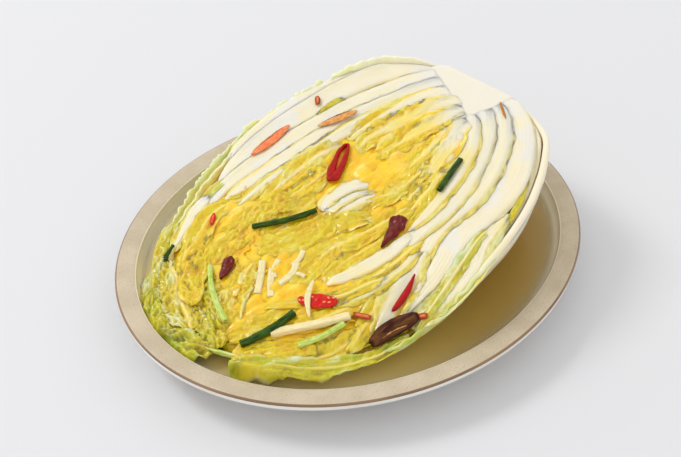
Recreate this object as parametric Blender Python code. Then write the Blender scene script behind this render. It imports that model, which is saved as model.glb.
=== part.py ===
"""White kimchi: half a salted napa cabbage, cut side up, in its broth on an oval stoneware plate.

The frame is metres, +Z up, with the origin under the plate's centre on the table and the plate's long
axis along X. The root of the cabbage is at +X and its leaf tips are at -X. The half head is a family of
nested bowls: head_point(depth, run, turn) is a place in it, where depth goes from 0 on the outermost leaf
to 1 at the heart, run goes from 0 at the root to 1 at the tips, and turn goes from 0 degrees on the left
margin at the cut, under the head, to 180 degrees on the right margin. Each leaf is a shell between two
depths, so that leaves lie close and never cross.
"""

import math

import bmesh
import bpy
from mathutils import Vector

MM = 0.001
GAP = 0.3 * MM  # left between pieces that touch

# Plate
PLATE_LONG = 330 * MM
PLATE_SHORT = 280 * MM
RIM_TOP = 30 * MM
RIM_WIDTH = 14 * MM
LIP_HEIGHT = 5.5 * MM
FLOOR_TOP = 8 * MM
FLOOR_INSET = 60 * MM
FOOT_INSET = 54 * MM
FOOT_WIDTH = 5 * MM
FOOT_HEIGHT = 3.5 * MM
PLATE_SIDES = 44

# Broth
BROTH_TOP = 22 * MM
HEAD_ROOM = 3 * MM  # left round the head

# Half head
ROOT_X = 139 * MM
TIP_X = -146 * MM
HEART_ROOT_X = 103 * MM
HEART_TIP_X = -62 * MM
ROOT_SLANT = 0.17  # how far the trimmed root is off square, as a slope
HEART_SHARE = 0.31  # the innermost bowl's depth as a share of the outermost's
CUT_HEIGHT = 61.8 * MM  # of the cut plane at x = 0
CUT_SLOPE = 0.1985
REST_HEIGHT = 9 * MM  # of the head's flat underside
BULGE = 2.3  # exponent of the head's cross-section
LAYERS = 9
SHELL_ROOT = 0.80  # a leaf's thickness as a share of its layer, at the root and at the tip
SHELL_TIP = 0.42
LEAF_RUNS = 11
TURNS = [0, 24, 46, 66, 90, 114, 134, 156, 180]  # facets of every bowl, so that all lie parallel
SPLITS = (3, 5)  # the facets where a leaf ends under the head, by turns
SPLIT_GAP = 2.0  # degrees
HEART_EDGE = 0.9  # depth where the last leaf ends and the heart starts
HEART_SPACE = 0.006  # run left between the heart's pieces

# How far the margins are to the left, and how deep the head is under the cut, in mm by run
LEFT_MARGIN = [
    (0, 56),
    (0.035, 70),
    (0.08, 84),
    (0.12, 94),
    (0.24, 107),
    (0.34, 113),
    (0.48, 116),
    (0.62, 109),
    (0.76, 91),
    (0.88, 66),
    (1, 18),
]
RIGHT_MARGIN = [
    (0, 0),
    (0.02, -27),
    (0.05, -48),
    (0.085, -60),
    (0.145, -75),
    (0.24, -92),
    (0.34, -103),
    (0.48, -112),
    (0.62, -112),
    (0.76, -98),
    (0.88, -75),
    (1, -22),
]
DEPTH = [
    (0, 26),
    (0.035, 45),
    (0.1, 64),
    (0.2, 68.5),
    (0.34, 61),
    (0.62, 44.5),
    (0.88, 27),
    (0.95, 15),
    (1, 3),
]
HEART_LEFT = [(0, 40), (0.12, 50), (0.4, 56), (0.75, 54), (1, 30)]
HEART_RIGHT = [(0, 8), (0.12, -8), (0.4, -21), (0.75, -26), (1, -12)]

WHITE = "#EEEBDC"
CREAM = "#EFE3A6"
YELLOW = "#EDCB2A"
LEAF_GREEN = "#BFC03A"
SCALLION = "#23461A"
CHILLI = "#B01A12"
JUJUBE = "#7A3A1C"
PEAR = "#EBDDA8"
RADISH = "#F0EDDC"


def smooth(low, high, value):
    share = min(max((value - low) / (high - low), 0), 1)
    return share * share * (3 - 2 * share)


def along(stations, run):
    """A smooth curve through (run, value) stations, level where neighbours turn back."""
    for i in range(len(stations) - 1):
        if run <= stations[i + 1][0] or i == len(stations) - 2:
            break
    (x0, y0), (x1, y1) = stations[i], stations[i + 1]
    before = stations[max(i - 1, 0)]
    after = stations[min(i + 2, len(stations) - 1)]
    slope0 = (y1 - before[1]) / (x1 - before[0])
    slope1 = (after[1] - y0) / (after[0] - x0)
    width = x1 - x0
    t = (run - x0) / width
    return (
        y0 * (1 + 2 * t) * (1 - t) ** 2
        + y1 * t * t * (3 - 2 * t)
        + width * slope0 * t * (1 - t) ** 2
        - width * slope1 * t * t * (1 - t)
    )


# The half head's shape


def face_height(x, y):
    """The cut face: a plane that rises to the root, and sags at its right and left margins."""
    plane = CUT_HEIGHT + CUT_SLOPE * x
    sag_right = 14 * MM * smooth(40 * MM, -60 * MM, x) * smooth(-50 * MM, -112 * MM, y)
    sag_left = 4 * MM * smooth(60 * MM, -40 * MM, x) * smooth(60 * MM, 110 * MM, y)
    return plane - sag_right - sag_left


def head_point(depth, run, turn, grow=0.0):
    """A place in the head, which grow moves outwards."""
    left = MM * (along(LEFT_MARGIN, run) * (1 - depth) + along(HEART_LEFT, run) * depth)
    right = MM * (along(RIGHT_MARGIN, run) * (1 - depth) + along(HEART_RIGHT, run) * depth)
    angle = math.radians(turn)
    side = math.copysign(abs(math.cos(angle)) ** (2 / BULGE), 90 - turn)
    down = max(math.sin(angle), 0) ** (2 / BULGE)
    y = (left + right) / 2 + ((left - right) / 2 + grow) * side
    root_x = ROOT_X + (HEART_ROOT_X - ROOT_X) * depth - ROOT_SLANT * y * (1 - run) ** 4
    tip_x = TIP_X + (HEART_TIP_X - TIP_X) * depth
    x = root_x + (tip_x - root_x) * run
    top = face_height(x, y)
    plane = CUT_HEIGHT + CUT_SLOPE * x
    scale = 1 + (HEART_SHARE - 1) * depth
    drop = (MM * along(DEPTH, run) * scale + grow) * (top - REST_HEIGHT) / (plane - REST_HEIGHT)
    return Vector((x, y, top - drop * down))


# Building


def make_object(name, bm, material, smooth_angle=40):
    bmesh.ops.recalc_face_normals(bm, faces=bm.faces)
    mesh = bpy.data.meshes.new(name)
    bm.to_mesh(mesh)
    bm.free()
    if smooth_angle:
        mesh.shade_smooth()
        mesh.set_sharp_from_angle(angle=math.radians(smooth_angle))
    mesh.materials.append(material)
    piece = bpy.data.objects.new(name, mesh)
    bpy.data.collections[COLLECTION].objects.link(piece)
    return piece


def loft(name, rings, material):
    """A closed solid through rings of points, with flat ends."""
    bm = bmesh.new()
    rows = [[bm.verts.new(p) for p in ring] for ring in rings]
    count = len(rows[0])
    for row, after in zip(rows, rows[1:]):
        for i in range(count):
            j = (i + 1) % count
            bm.faces.new((row[i], row[j], after[j], after[i]))
    bm.faces.new(rows[0])
    bm.faces.new(reversed(rows[-1]))
    return make_object(name, bm, material)


def solid_between(name, outer, inner, material):
    """A closed solid between two grids of points with equal rows and columns."""
    bm = bmesh.new()
    sheets = [[[bm.verts.new(p) for p in row] for row in grid] for grid in (outer, inner)]
    rows, columns = len(outer), len(outer[0])
    for sheet in sheets:
        for i in range(rows - 1):
            for j in range(columns - 1):
                bm.faces.new((sheet[i][j], sheet[i][j + 1], sheet[i + 1][j + 1], sheet[i + 1][j]))
    corners = [(0, j) for j in range(columns)]
    corners += [(i, columns - 1) for i in range(1, rows)]
    corners += [(rows - 1, j) for j in range(columns - 2, -1, -1)]
    corners += [(i, 0) for i in range(rows - 2, 0, -1)]
    a, b = sheets
    for (i, j), (k, m) in zip(corners, corners[1:] + corners[:1]):
        bm.faces.new((a[i][j], a[k][m], b[k][m], b[i][j]))
    return make_object(name, bm, material)


def linear(channel):
    return channel / 12.92 if channel <= 0.04045 else ((channel + 0.055) / 1.055) ** 2.4


def make_material(name, colour, roughness, alpha=1.0):
    rgb = [linear(int(colour[i : i + 2], 16) / 255) for i in (1, 3, 5)]
    material = bpy.data.materials.new(name)
    material.use_nodes = True
    material.diffuse_color = (*rgb, alpha)
    shader = material.node_tree.nodes["Principled BSDF"]
    shader.inputs["Base Color"].default_value = (*rgb, 1)
    shader.inputs["Roughness"].default_value = roughness
    shader.inputs["Metallic"].default_value = 0.0
    shader.inputs["Alpha"].default_value = alpha
    return material


# Plate and broth


def oval(inset, height):
    ring = []
    for i in range(PLATE_SIDES):
        angle = math.tau * i / PLATE_SIDES
        x = (PLATE_LONG / 2 - inset) * math.cos(angle)
        y = (PLATE_SHORT / 2 - inset) * math.sin(angle)
        ring.append(Vector((x, y, height)))
    return ring


def wall_height(share):
    """Height of the well's wall, from 0 at the floor's edge to 1 at the rim."""
    return FLOOR_TOP + (RIM_TOP - FLOOR_TOP) * (1 - math.sqrt(1 - share * share))


def wall_inset(share):
    return FLOOR_INSET + (RIM_WIDTH - FLOOR_INSET) * share


def make_plate():
    lip = LIP_HEIGHT / 2
    rings = [oval(wall_inset(q), wall_height(q)) for q in (0, 0.35, 0.62, 0.82, 0.94, 1)]
    rings.append(oval(1.2 * MM, RIM_TOP))
    rings.append(oval(0, RIM_TOP - 1.2 * MM))
    rings.append(oval(0, RIM_TOP - LIP_HEIGHT + 1.2 * MM))
    rings.append(oval(lip, RIM_TOP - LIP_HEIGHT))
    rings.append(oval(RIM_WIDTH - 2 * MM, 20.5 * MM))
    rings.append(oval(20 * MM, 13.5 * MM))
    rings.append(oval(32 * MM, 7.5 * MM))
    rings.append(oval(FOOT_INSET - 1 * MM, FOOT_HEIGHT))
    rings.append(oval(FOOT_INSET, 0))
    rings.append(oval(FOOT_INSET + FOOT_WIDTH, 0))
    rings.append(oval(FOOT_INSET + FOOT_WIDTH + 1 * MM, FOOT_HEIGHT))
    loft("plate", rings, make_material("stoneware", "#CFBFA4", 0.45))


def make_broth():
    """The pool up to its level, cut round the head."""
    full = math.sqrt(1 - (1 - (BROTH_TOP - FLOOR_TOP) / (RIM_TOP - FLOOR_TOP)) ** 2)
    rings = []
    for share in (0, 0.35, 0.62, 0.8, full):
        rings.append(oval(wall_inset(share) + 2 * GAP, wall_height(share) + GAP))
    rings[-1] = oval(wall_inset(full) + 2 * GAP, BROTH_TOP)
    broth = loft("broth", rings, make_material("broth", "#C9BE7A", 0.08, 0.6))
    runs = [along_steps(i, LEAF_RUNS) for i in range(LEAF_RUNS + 1)]
    bowl = [[head_point(0, run, turn, grow=HEAD_ROOM) for turn in TURNS] for run in runs]
    lid = [[p + Vector((0, 0, 12 * MM)) for p in level_row(row)] for row in bowl]
    cutter = solid_between("head_room", bowl, lid, bpy.data.materials["broth"])
    bpy.data.collections[COLLECTION].objects.unlink(cutter)
    bpy.data.collections[CUTTERS].objects.link(cutter)
    cutter.hide_render = True
    cutter.display_type = "WIRE"
    cut = broth.modifiers.new("room for the head", "BOOLEAN")
    cut.operation = "DIFFERENCE"
    cut.object = cutter


# Cabbage


def along_steps(i, count):
    """Steps along a leaf that crowd towards the root and the tip."""
    return (1 - math.cos(math.pi * i / count)) / 2


def level_row(row):
    """Points spread evenly between a cross-section's two margins, for a flat top."""
    first, last = row[0], row[-1]
    return [first.lerp(last, j / (len(row) - 1)) for j in range(len(row))]


def leaf_tone(layer):
    if layer < 3:
        return ("leaf_outer", WHITE)
    if layer < 6:
        return ("leaf_middle", CREAM)
    return ("leaf_inner", YELLOW)


def make_leaf(layer, side):
    """One leaf: half of a layer, whose split under the head changes side with each layer."""
    pitch = HEART_EDGE / LAYERS
    split = SPLITS[layer % 2]
    margin = 3.0 * (layer % 3)
    if side == "left":
        turns = [margin] + TURNS[1:split] + [TURNS[split] - SPLIT_GAP]
    else:
        turns = [TURNS[split] + SPLIT_GAP] + TURNS[split + 1 : -1] + [180 - margin]
    outer = []
    inner = []
    for i in range(LEAF_RUNS + 1):
        run = along_steps(i, LEAF_RUNS)
        thick = pitch * (SHELL_ROOT + (SHELL_TIP - SHELL_ROOT) * smooth(0, 0.9, run))
        outer.append([head_point(layer * pitch, run, turn) for turn in turns])
        inner.append([head_point(layer * pitch + thick, run, turn) for turn in turns])
    name, colour = leaf_tone(layer)
    material = bpy.data.materials.get(name) or make_material(name, colour, 0.35)
    solid_between(f"leaf_{layer + 1}_{side}", outer, inner, material)


def make_heart(name, first, last, bump):
    """A stretch of the crumpled heart between two of the leaves' steps, with an uneven top."""
    runs = [along_steps(i, LEAF_RUNS) for i in range(first, last + 1)]
    runs[0] += HEART_SPACE
    runs[-1] -= HEART_SPACE
    outer = []
    top = []
    for i, run in enumerate(runs):
        row = [head_point(HEART_EDGE, run, turn) for turn in TURNS]
        drops = [bump * abs(math.sin(1.9 * j + 2.3 * i)) for j in range(len(row))]
        drops[0] = drops[-1] = 0
        outer.append(row)
        top.append([p + Vector((0, 0, 1 * MM - drop)) for p, drop in zip(level_row(row), drops)])
    material = bpy.data.materials.get("heart") or make_material("heart", YELLOW, 0.4)
    solid_between(name, outer, top, material)


def make_core():
    """The stem's tapered end, which the leaves spring from, with the flat of the trimmed root."""
    outer = []
    top = []
    for i in range(6):
        depth = HEART_EDGE * i / 5
        row = [head_point(depth, 0, turn) for turn in TURNS]
        middle = (row[0] + row[-1]) / 2
        row = [middle + (p - middle) * 0.94 + Vector((1 * MM, 0, 0)) for p in row]
        outer.append(row)
        top.append([p + Vector((0, 0, 2 * MM)) for p in level_row(row)])
    solid_between("core", outer, top, make_material("core", WHITE, 0.4))


# Toppings, placed on the cut face by x and y in millimetres


def stick(name, start, end, width, height, material, bow=0.0, taper=0.7, lift=1.5 * MM, sides=8):
    """A strip, tube or slice that lies on the cut face from start to end, bowed to its left."""
    a = Vector((start[0] * MM, start[1] * MM, 0))
    b = Vector((end[0] * MM, end[1] * MM, 0))
    way = (b - a).normalized()
    left = Vector((-way.y, way.x, 0))
    rings = []
    for i in range(5):
        share = i / 4
        middle = a.lerp(b, share) + left * bow * math.sin(math.pi * share)
        size = 1 - (1 - taper) * abs(2 * share - 1) ** 2
        middle.z = face_height(middle.x, middle.y) + lift + height / 2
        ring = []
        for j in range(sides):
            angle = math.tau * (j + 0.5) / sides
            across = left * (width / 2 * size * math.cos(angle))
            ring.append(middle + across + Vector((0, 0, height / 2 * size * math.sin(angle))))
        rings.append(ring)
    return loft(name, rings, material)


def slanted_ring(name, start, end, width, thickness, material, lift=1.5 * MM):
    """A long ring: a hollow pod cut on a slant."""
    a = Vector((start[0] * MM, start[1] * MM, 0))
    b = Vector((end[0] * MM, end[1] * MM, 0))
    way = (b - a).normalized()
    left = Vector((-way.y, way.x, 0))
    middle = (a + b) / 2
    long_half = (b - a).length / 2 - thickness / 2
    short_half = width / 2 - thickness / 2
    bm = bmesh.new()
    rows = []
    for i in range(14):
        angle = math.tau * i / 14
        out = way * math.cos(angle) + left * math.sin(angle)
        spine = middle + way * long_half * math.cos(angle) + left * short_half * math.sin(angle)
        spine.z = face_height(spine.x, spine.y) + lift + thickness / 2
        row = []
        for j in range(5):
            turn = math.tau * j / 5
            offset = out * math.cos(turn) + Vector((0, 0, math.sin(turn)))
            row.append(bm.verts.new(spine + offset * thickness / 2))
        rows.append(row)
    for i in range(14):
        row, after = rows[i], rows[(i + 1) % 14]
        for j in range(5):
            k = (j + 1) % 5
            bm.faces.new((row[j], row[k], after[k], after[j]))
    return make_object(name, bm, material)


def make_scallions():
    material = make_material("scallion", SCALLION, 0.3)
    pale = make_material("scallion_pale", "#A9BC62", 0.35)
    stick("scallion_a", (74, -23), (46, -34), 4.5 * MM, 4 * MM, material, taper=0.85)
    stick("scallion_b", (-20, 12), (-58, 32), 5.5 * MM, 5 * MM, material, taper=0.9)
    stick("scallion_c", (-82, -46.5), (-120, -42), 5.5 * MM, 5 * MM, material, bow=1 * MM, taper=0.9)
    stick("scallion_d", (-97, 25), (-116, -20), 4 * MM, 3 * MM, pale, bow=-2 * MM)
    stick("scallion_e", (-104, 58), (-115, 53), 2.5 * MM, 2 * MM, material)
    stick("minari", (-70, -79), (-96, -69), 5 * MM, 4 * MM, pale, taper=0.8)


def make_chillies():
    material = make_material("chilli", CHILLI, 0.25)
    slanted_ring("chilli_ring", (31, 45), (4, 26), 11 * MM, 4.5 * MM, material)
    stick("chilli_dark", (14, -34), (-9, -43), 9 * MM, 4 * MM, material, taper=0.45)
    stick("chilli_seeded_a", (-57, -59), (-66, -49), 11 * MM, 3 * MM, material, taper=0.75)
    stick("chilli_seeded_b", (-67, -48), (-74, -37), 11 * MM, 3 * MM, material, taper=0.75)
    stick("chilli_sliver", (-10, -77), (-37, -89), 4.5 * MM, 3 * MM, material, taper=0.4)
    stick("chilli_left", (-84, 20), (-99, 11), 8 * MM, 4 * MM, material, taper=0.6)
    stick("chilli_bit", (-70, 60), (-75, 55), 3.5 * MM, 2.5 * MM, material)


def make_jujubes():
    material = make_material("jujube", JUJUBE, 0.35)
    slanted_ring("jujube_slice_a", (52, 66), (30, 72), 7 * MM, 2.5 * MM, material)
    stick("jujube_slice_b", (14, 90), (-16, 87), 7 * MM, 3 * MM, material, taper=0.5)
    slanted_ring("jujube_slice_c", (-31, -100), (-63, -104), 11 * MM, 4 * MM, material)
    stick("jujube_bit_a", (44, 97), (42, 91), 4 * MM, 2.5 * MM, material)
    stick("jujube_bit_b", (-25, -105), (-30, -101), 4.5 * MM, 2.5 * MM, material)


def make_sticks():
    pear = make_material("pear", PEAR, 0.35)
    radish = make_material("radish", RADISH, 0.3)
    stick("pear_stick", (-64, -74), (-97, -56), 5.5 * MM, 5 * MM, pear, taper=0.9, sides=6)
    stick("radish_stick_a", (-58, -35), (-64, -47), 2.6 * MM, 2 * MM, radish, sides=6, lift=6 * MM)
    stick("radish_stick_b", (-70, 4), (-88, -14), 4 * MM, 3 * MM, radish, sides=6)
    stick("radish_stick_c", (-66, 14), (-80, 6), 4 * MM, 3 * MM, radish, sides=6)


COLLECTION = "kimchi"
CUTTERS = "cutters"


def main():
    for old in list(bpy.data.objects):
        bpy.data.objects.remove(old)
    for name in (COLLECTION, CUTTERS):
        bpy.context.scene.collection.children.link(bpy.data.collections.new(name))
    make_plate()
    make_broth()
    make_core()
    for layer in range(LAYERS):
        for side in ("left", "right"):
            make_leaf(layer, side)
    make_heart("heart_root", 0, 5, 3 * MM)
    make_heart("heart_middle", 5, 7, 4 * MM)
    make_heart("heart_tip", 7, 11, 3 * MM)
    make_scallions()
    make_chillies()
    make_jujubes()
    make_sticks()


main()
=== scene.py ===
"""White kimchi: half a salted napa cabbage, cut side up, in its broth on an oval stoneware plate."""

import itertools
import math

import bmesh
import bpy
import numpy as np
from mathutils import Matrix, Vector


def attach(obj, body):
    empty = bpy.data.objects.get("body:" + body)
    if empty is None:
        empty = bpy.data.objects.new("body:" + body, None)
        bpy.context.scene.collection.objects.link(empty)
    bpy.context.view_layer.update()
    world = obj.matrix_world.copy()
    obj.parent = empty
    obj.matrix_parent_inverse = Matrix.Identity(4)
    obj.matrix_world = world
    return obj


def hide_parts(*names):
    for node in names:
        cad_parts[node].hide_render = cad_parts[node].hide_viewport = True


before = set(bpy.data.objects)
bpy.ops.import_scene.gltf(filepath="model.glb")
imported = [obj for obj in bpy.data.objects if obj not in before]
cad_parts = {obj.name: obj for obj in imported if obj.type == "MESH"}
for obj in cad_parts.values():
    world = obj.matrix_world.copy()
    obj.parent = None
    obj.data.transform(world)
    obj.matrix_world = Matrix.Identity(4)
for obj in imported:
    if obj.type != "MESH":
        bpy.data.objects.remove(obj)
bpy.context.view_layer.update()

bl_info = {
    "name": "White Kimchi on a Plate",
    "version": (1, 0, 0),
    "blender": (4, 5, 0),
    "location": "3D View > Sidebar > Kimchi",
    "description": "Builds half a salted napa cabbage with its toppings, broth and plate",
    "category": "Add Mesh",
}

MM = 0.001
UP = np.array([0.0, 0.0, 1.0])

# The half head, as in the solids: its margins to the left and right of the middle line and its
# depth, in mm, by run, which goes from 0 at the root to 1 at the leaf tips
ROOT_X, TIP_X = 139 * MM, -146 * MM
HEART_ROOT_X, HEART_TIP_X = 103 * MM, -62 * MM
ROOT_SLANT = 0.17
HEART_SHARE = 0.31
CUT_HEIGHT, CUT_SLOPE = 61.8 * MM, 0.1985
REST_HEIGHT = 9 * MM
BULGE = 1.9
LAYERS = 9
LAYER_PITCH = 0.1
SPLIT_TURNS = (66, 114)
LEFT_MARGIN = [
    (0, 56), (0.035, 70), (0.08, 84), (0.12, 94), (0.24, 107), (0.34, 113),
    (0.48, 116), (0.62, 109), (0.76, 91), (0.88, 66), (1, 18),
]
RIGHT_MARGIN = [
    (0, 0), (0.02, -27), (0.05, -48), (0.085, -60), (0.145, -75), (0.24, -92),
    (0.34, -103), (0.48, -112), (0.62, -112), (0.76, -98), (0.88, -75), (1, -22),
]
DEPTH = [
    (0, 26), (0.035, 45), (0.1, 64), (0.2, 68.5), (0.34, 61),
    (0.62, 44.5), (0.88, 27), (0.95, 15), (1, 3),
]
HEART_LEFT = [(0, 40), (0.12, 50), (0.4, 56), (0.75, 54), (1, 30)]
HEART_RIGHT = [(0, 8), (0.12, -8), (0.4, -21), (0.75, -26), (1, -12)]


# Shape helpers


def stacked(*parts):
    """Arrays of x, y and z as one array of points."""
    return np.stack(np.broadcast_arrays(*parts), axis=-1)


def smooth(low, high, value):
    """A soft step from 0 at low to 1 at high."""
    share = np.clip((np.asarray(value) - low) / (high - low), 0, 1)
    return share * share * (3 - 2 * share)


def along(stations, run):
    """A smooth curve through (run, value) stations."""
    x, y = (np.array(column, float) for column in zip(*stations))
    wide = np.r_[x[0], x, x[-1]]
    tall = np.r_[y[0], y, y[-1]]
    slope = (tall[2:] - tall[:-2]) / (wide[2:] - wide[:-2])
    run = np.asarray(run, float)
    i = np.clip(np.searchsorted(x, run, side="left") - 1, 0, len(x) - 2)
    width = x[i + 1] - x[i]
    t = (run - x[i]) / width
    rise = y[i] * (1 + 2 * t) * (1 - t) ** 2 + y[i + 1] * t * t * (3 - 2 * t)
    return rise + width * t * (1 - t) * (slope[i] * (1 - t) - slope[i + 1] * t)


def face_height(x, y):
    """The cut face: a plane that rises to the root, and sags at its right and left margins."""
    sag_right = 14 * MM * smooth(-40 * MM, 60 * MM, -x) * smooth(50 * MM, 112 * MM, -y)
    sag_left = 4 * MM * smooth(-60 * MM, 40 * MM, -x) * smooth(60 * MM, 110 * MM, y)
    return CUT_HEIGHT + CUT_SLOPE * x - sag_right - sag_left


def head_point(depth, run, turn):
    """Places in the head: depth from 0 outside to 1 at the heart, turn from 0 left to 180 right."""
    left = MM * (along(LEFT_MARGIN, run) * (1 - depth) + along(HEART_LEFT, run) * depth)
    right = MM * (along(RIGHT_MARGIN, run) * (1 - depth) + along(HEART_RIGHT, run) * depth)
    angle = np.radians(turn)
    side = np.sign(90 - np.asarray(turn, float)) * np.abs(np.cos(angle)) ** (2 / BULGE)
    down = np.maximum(np.sin(angle), 0) ** (2 / BULGE)
    y = (left + right) / 2 + (left - right) / 2 * side
    root_x = ROOT_X + (HEART_ROOT_X - ROOT_X) * depth - ROOT_SLANT * y * (1 - run) ** 4
    tip_x = TIP_X + (HEART_TIP_X - TIP_X) * depth
    x = root_x + (tip_x - root_x) * run
    top = face_height(x, y)
    plane = CUT_HEIGHT + CUT_SLOPE * x
    scale = 1 + (HEART_SHARE - 1) * depth
    drop = MM * along(DEPTH, run) * scale * (top - REST_HEIGHT) / (plane - REST_HEIGHT)
    return stacked(x, y, top - drop * down)


GRADIENTS = np.random.default_rng(11).normal(size=(256, 3))
GRADIENTS /= np.linalg.norm(GRADIENTS, axis=1, keepdims=True)


def noise(x, y, seed=0.0):
    """Smooth noise from about -1 to 1, whose lumps are about one unit across."""
    p = stacked(x, y, seed * 3.17 + 0.5).astype(float)
    cell = np.floor(p).astype(np.int64)
    part = p - cell
    fade = part**3 * (part * (part * 6 - 15) + 10)
    total = np.zeros(p.shape[:-1])
    for corner in itertools.product((0, 1), repeat=3):
        c = cell + corner
        key = (c[..., 0] * 73856093) ^ (c[..., 1] * 19349663) ^ (c[..., 2] * 83492791)
        key = (key ^ (key >> 13)) * 1274126177
        slope = GRADIENTS[(key >> 9) & 255]
        weight = np.prod(np.where(corner, fade, 1 - fade), axis=-1)
        total += weight * np.sum(slope * (part - corner), axis=-1)
    return total * 1.7


def ridges(x, y, seed=0.0):
    """Sharp-crested noise, for folds and veins."""
    return 1 - 2.2 * np.abs(noise(x, y, seed))


def closed_turn(steps):
    """Angles once round, whose last is the first again."""
    return np.linspace(0, 2 * np.pi, steps + 1) * (np.arange(steps + 1) < steps)


def unit(vectors):
    """Vectors made one long."""
    return vectors / np.linalg.norm(vectors, axis=-1, keepdims=True)


def surface_normals(points):
    """The normals of a sheet of points."""
    normals = np.cross(np.gradient(points, axis=0), np.gradient(points, axis=1))
    return normals / (np.linalg.norm(normals, axis=-1, keepdims=True) + 1e-12)


def distance_along(points, axis):
    """The distance from the first points of a sheet along its rows or columns."""
    steps = np.linalg.norm(np.diff(points, axis=axis), axis=-1)
    lead = [(0, 0), (0, 0)]
    lead[axis] = (1, 0)
    return np.cumsum(np.pad(steps, lead), axis=axis)


# Building helpers

WELD = 1e-6
THICKNESS_STEPS = 40
LEAST_THICKNESS = 0.02


def linear(colour):
    """An sRGB hex colour as linear RGBA."""
    channels = [int(colour[i : i + 2], 16) / 255 for i in (1, 3, 5)]
    return [c / 12.92 if c <= 0.04045 else ((c + 0.055) / 1.055) ** 2.4 for c in channels] + [1.0]


def object_from(bm, name):
    """Makes a bmesh an object in the scene, at the origin."""
    mesh = bpy.data.meshes.new(name)
    bm.to_mesh(mesh)
    bm.free()
    piece = bpy.data.objects.new(name, mesh)
    bpy.context.scene.collection.objects.link(piece)
    return piece


def grid_object(name, points, marks):
    """A sheet of faces with its points placed by row and column, and marks as vertex attributes."""
    rows, columns = points.shape[:2]
    bm = bmesh.new()
    bm.loops.layers.uv.new("UVMap")
    bmesh.ops.create_grid(bm, x_segments=columns - 1, y_segments=rows - 1, size=1, calc_uvs=True)
    piece = object_from(bm, name)
    mesh = piece.data
    flat = np.empty(len(mesh.vertices) * 3)
    mesh.vertices.foreach_get("co", flat)
    place = flat.reshape(-1, 3)
    column = np.rint((place[:, 0] + 1) / 2 * (columns - 1)).astype(int)
    row = np.rint((place[:, 1] + 1) / 2 * (rows - 1)).astype(int)
    mesh.vertices.foreach_set("co", points[row, column].ravel())
    for label, values in marks.items():
        kind, key = ("FLOAT_VECTOR", "vector") if values.ndim == 3 else ("FLOAT", "value")
        attribute = mesh.attributes.new(label, kind, "POINT")
        attribute.data.foreach_set(key, values[row, column].astype(np.float32).ravel())
    mesh.update()
    return piece, row, column


def weld(piece):
    """Closes the seams and poles where points meet, and turns the faces outwards."""
    bm = bmesh.new()
    bm.from_mesh(piece.data)
    bmesh.ops.remove_doubles(bm, verts=bm.verts, dist=WELD)
    bmesh.ops.dissolve_degenerate(bm, dist=WELD / 10, edges=bm.edges)
    bmesh.ops.recalc_face_normals(bm, faces=bm.faces)
    bm.to_mesh(piece.data)
    bm.free()


def thicken(piece, thickness, row, column):
    """Gives a sheet its thickness, which varies over it, with a Solidify modifier."""
    most = float(thickness.max())
    group = piece.vertex_groups.new(name="thickness")
    shares = thickness[row, column] / most
    for step in range(1, THICKNESS_STEPS + 1):
        chosen = np.nonzero(np.rint(shares * THICKNESS_STEPS) == step)[0]
        if len(chosen):
            group.add(chosen.tolist(), step / THICKNESS_STEPS, "REPLACE")
    solid = piece.modifiers.new("thickness", "SOLIDIFY")
    solid.thickness = most
    solid.offset = 0
    solid.vertex_group = "thickness"
    solid.thickness_vertex_group = LEAST_THICKNESS


def join(name, pieces):
    """Joins pieces whose modifiers are applied into one mesh."""
    graph = bpy.context.evaluated_depsgraph_get()
    bm = bmesh.new()
    for piece in pieces:
        mesh = bpy.data.meshes.new_from_object(piece.evaluated_get(graph))
        bm.from_mesh(mesh)
        bpy.data.meshes.remove(mesh)
    for piece in pieces:
        bpy.data.objects.remove(piece)
    return object_from(bm, name)


def finish_piece(piece, material, slot, *nodes):
    """Gives a piece its material, its body and the nodes that it stands for."""
    for one in material if isinstance(material, (list, tuple)) else [material]:
        piece.data.materials.append(one)
    piece.data.shade_smooth()
    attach(piece, "root")
    if nodes:
        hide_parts(*nodes)
    return piece


# Settings


def size(name, description, millimetres):
    """A length that the user can change."""
    return bpy.props.FloatProperty(
        name=name,
        description=description,
        default=millimetres * MM,
        min=0.0,
        unit="LENGTH",
        subtype="DISTANCE",
    )


def colour(name, description, code):
    """A colour that the user can change, from its sRGB hex code."""
    return bpy.props.FloatVectorProperty(
        name=name,
        description=description,
        default=linear(code),
        size=4,
        min=0.0,
        max=1.0,
        subtype="COLOR",
    )


class PlateSettings(bpy.types.PropertyGroup):
    long_side: size("Long side", "Length of the oval plate over its rim", 330)
    short_side: size("Short side", "Width of the oval plate over its rim", 280)
    height: size("Height", "Height of the rim's flat top", 30)
    rim_width: size("Rim width", "Width of the unglazed rim", 14)
    lip_height: size("Lip height", "Height of the rim's outer edge", 5.5)
    floor_height: size("Floor height", "Height of the well's flat floor", 8)
    floor_inset: size("Floor inset", "Distance from the plate's edge to the flat floor", 60)
    foot_inset: size("Foot inset", "Distance from the plate's edge to the foot ring", 54)
    foot_width: size("Foot width", "Width of the foot ring", 5)
    foot_height: size("Foot height", "Height of the foot ring", 3.5)
    clay: colour("Clay", "Unglazed clay of the rim", "#BDAD92")
    clay_light: colour("Light clay", "Paler patches of the rim", "#C9BAA0")
    grit: colour("Grit", "Dark grit in the clay", "#A8957A")
    edge: colour("Edge", "Toasted line where the glaze ends", "#7A5C3E")
    edge_light: colour("Light edge", "Paler parts of the toasted line", "#8E6E4C")
    well: colour("Well", "Glaze of the well", "#EFE8D4")
    well_dark: colour("Pooled glaze", "Glaze where it pools in the well", "#E6DDC4")
    foot: colour("Underside", "Glaze of the underside", "#ECE9E2")
    foot_dark: colour("Pooled underside", "Glaze where it pools underneath", "#E4E0D6")


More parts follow.
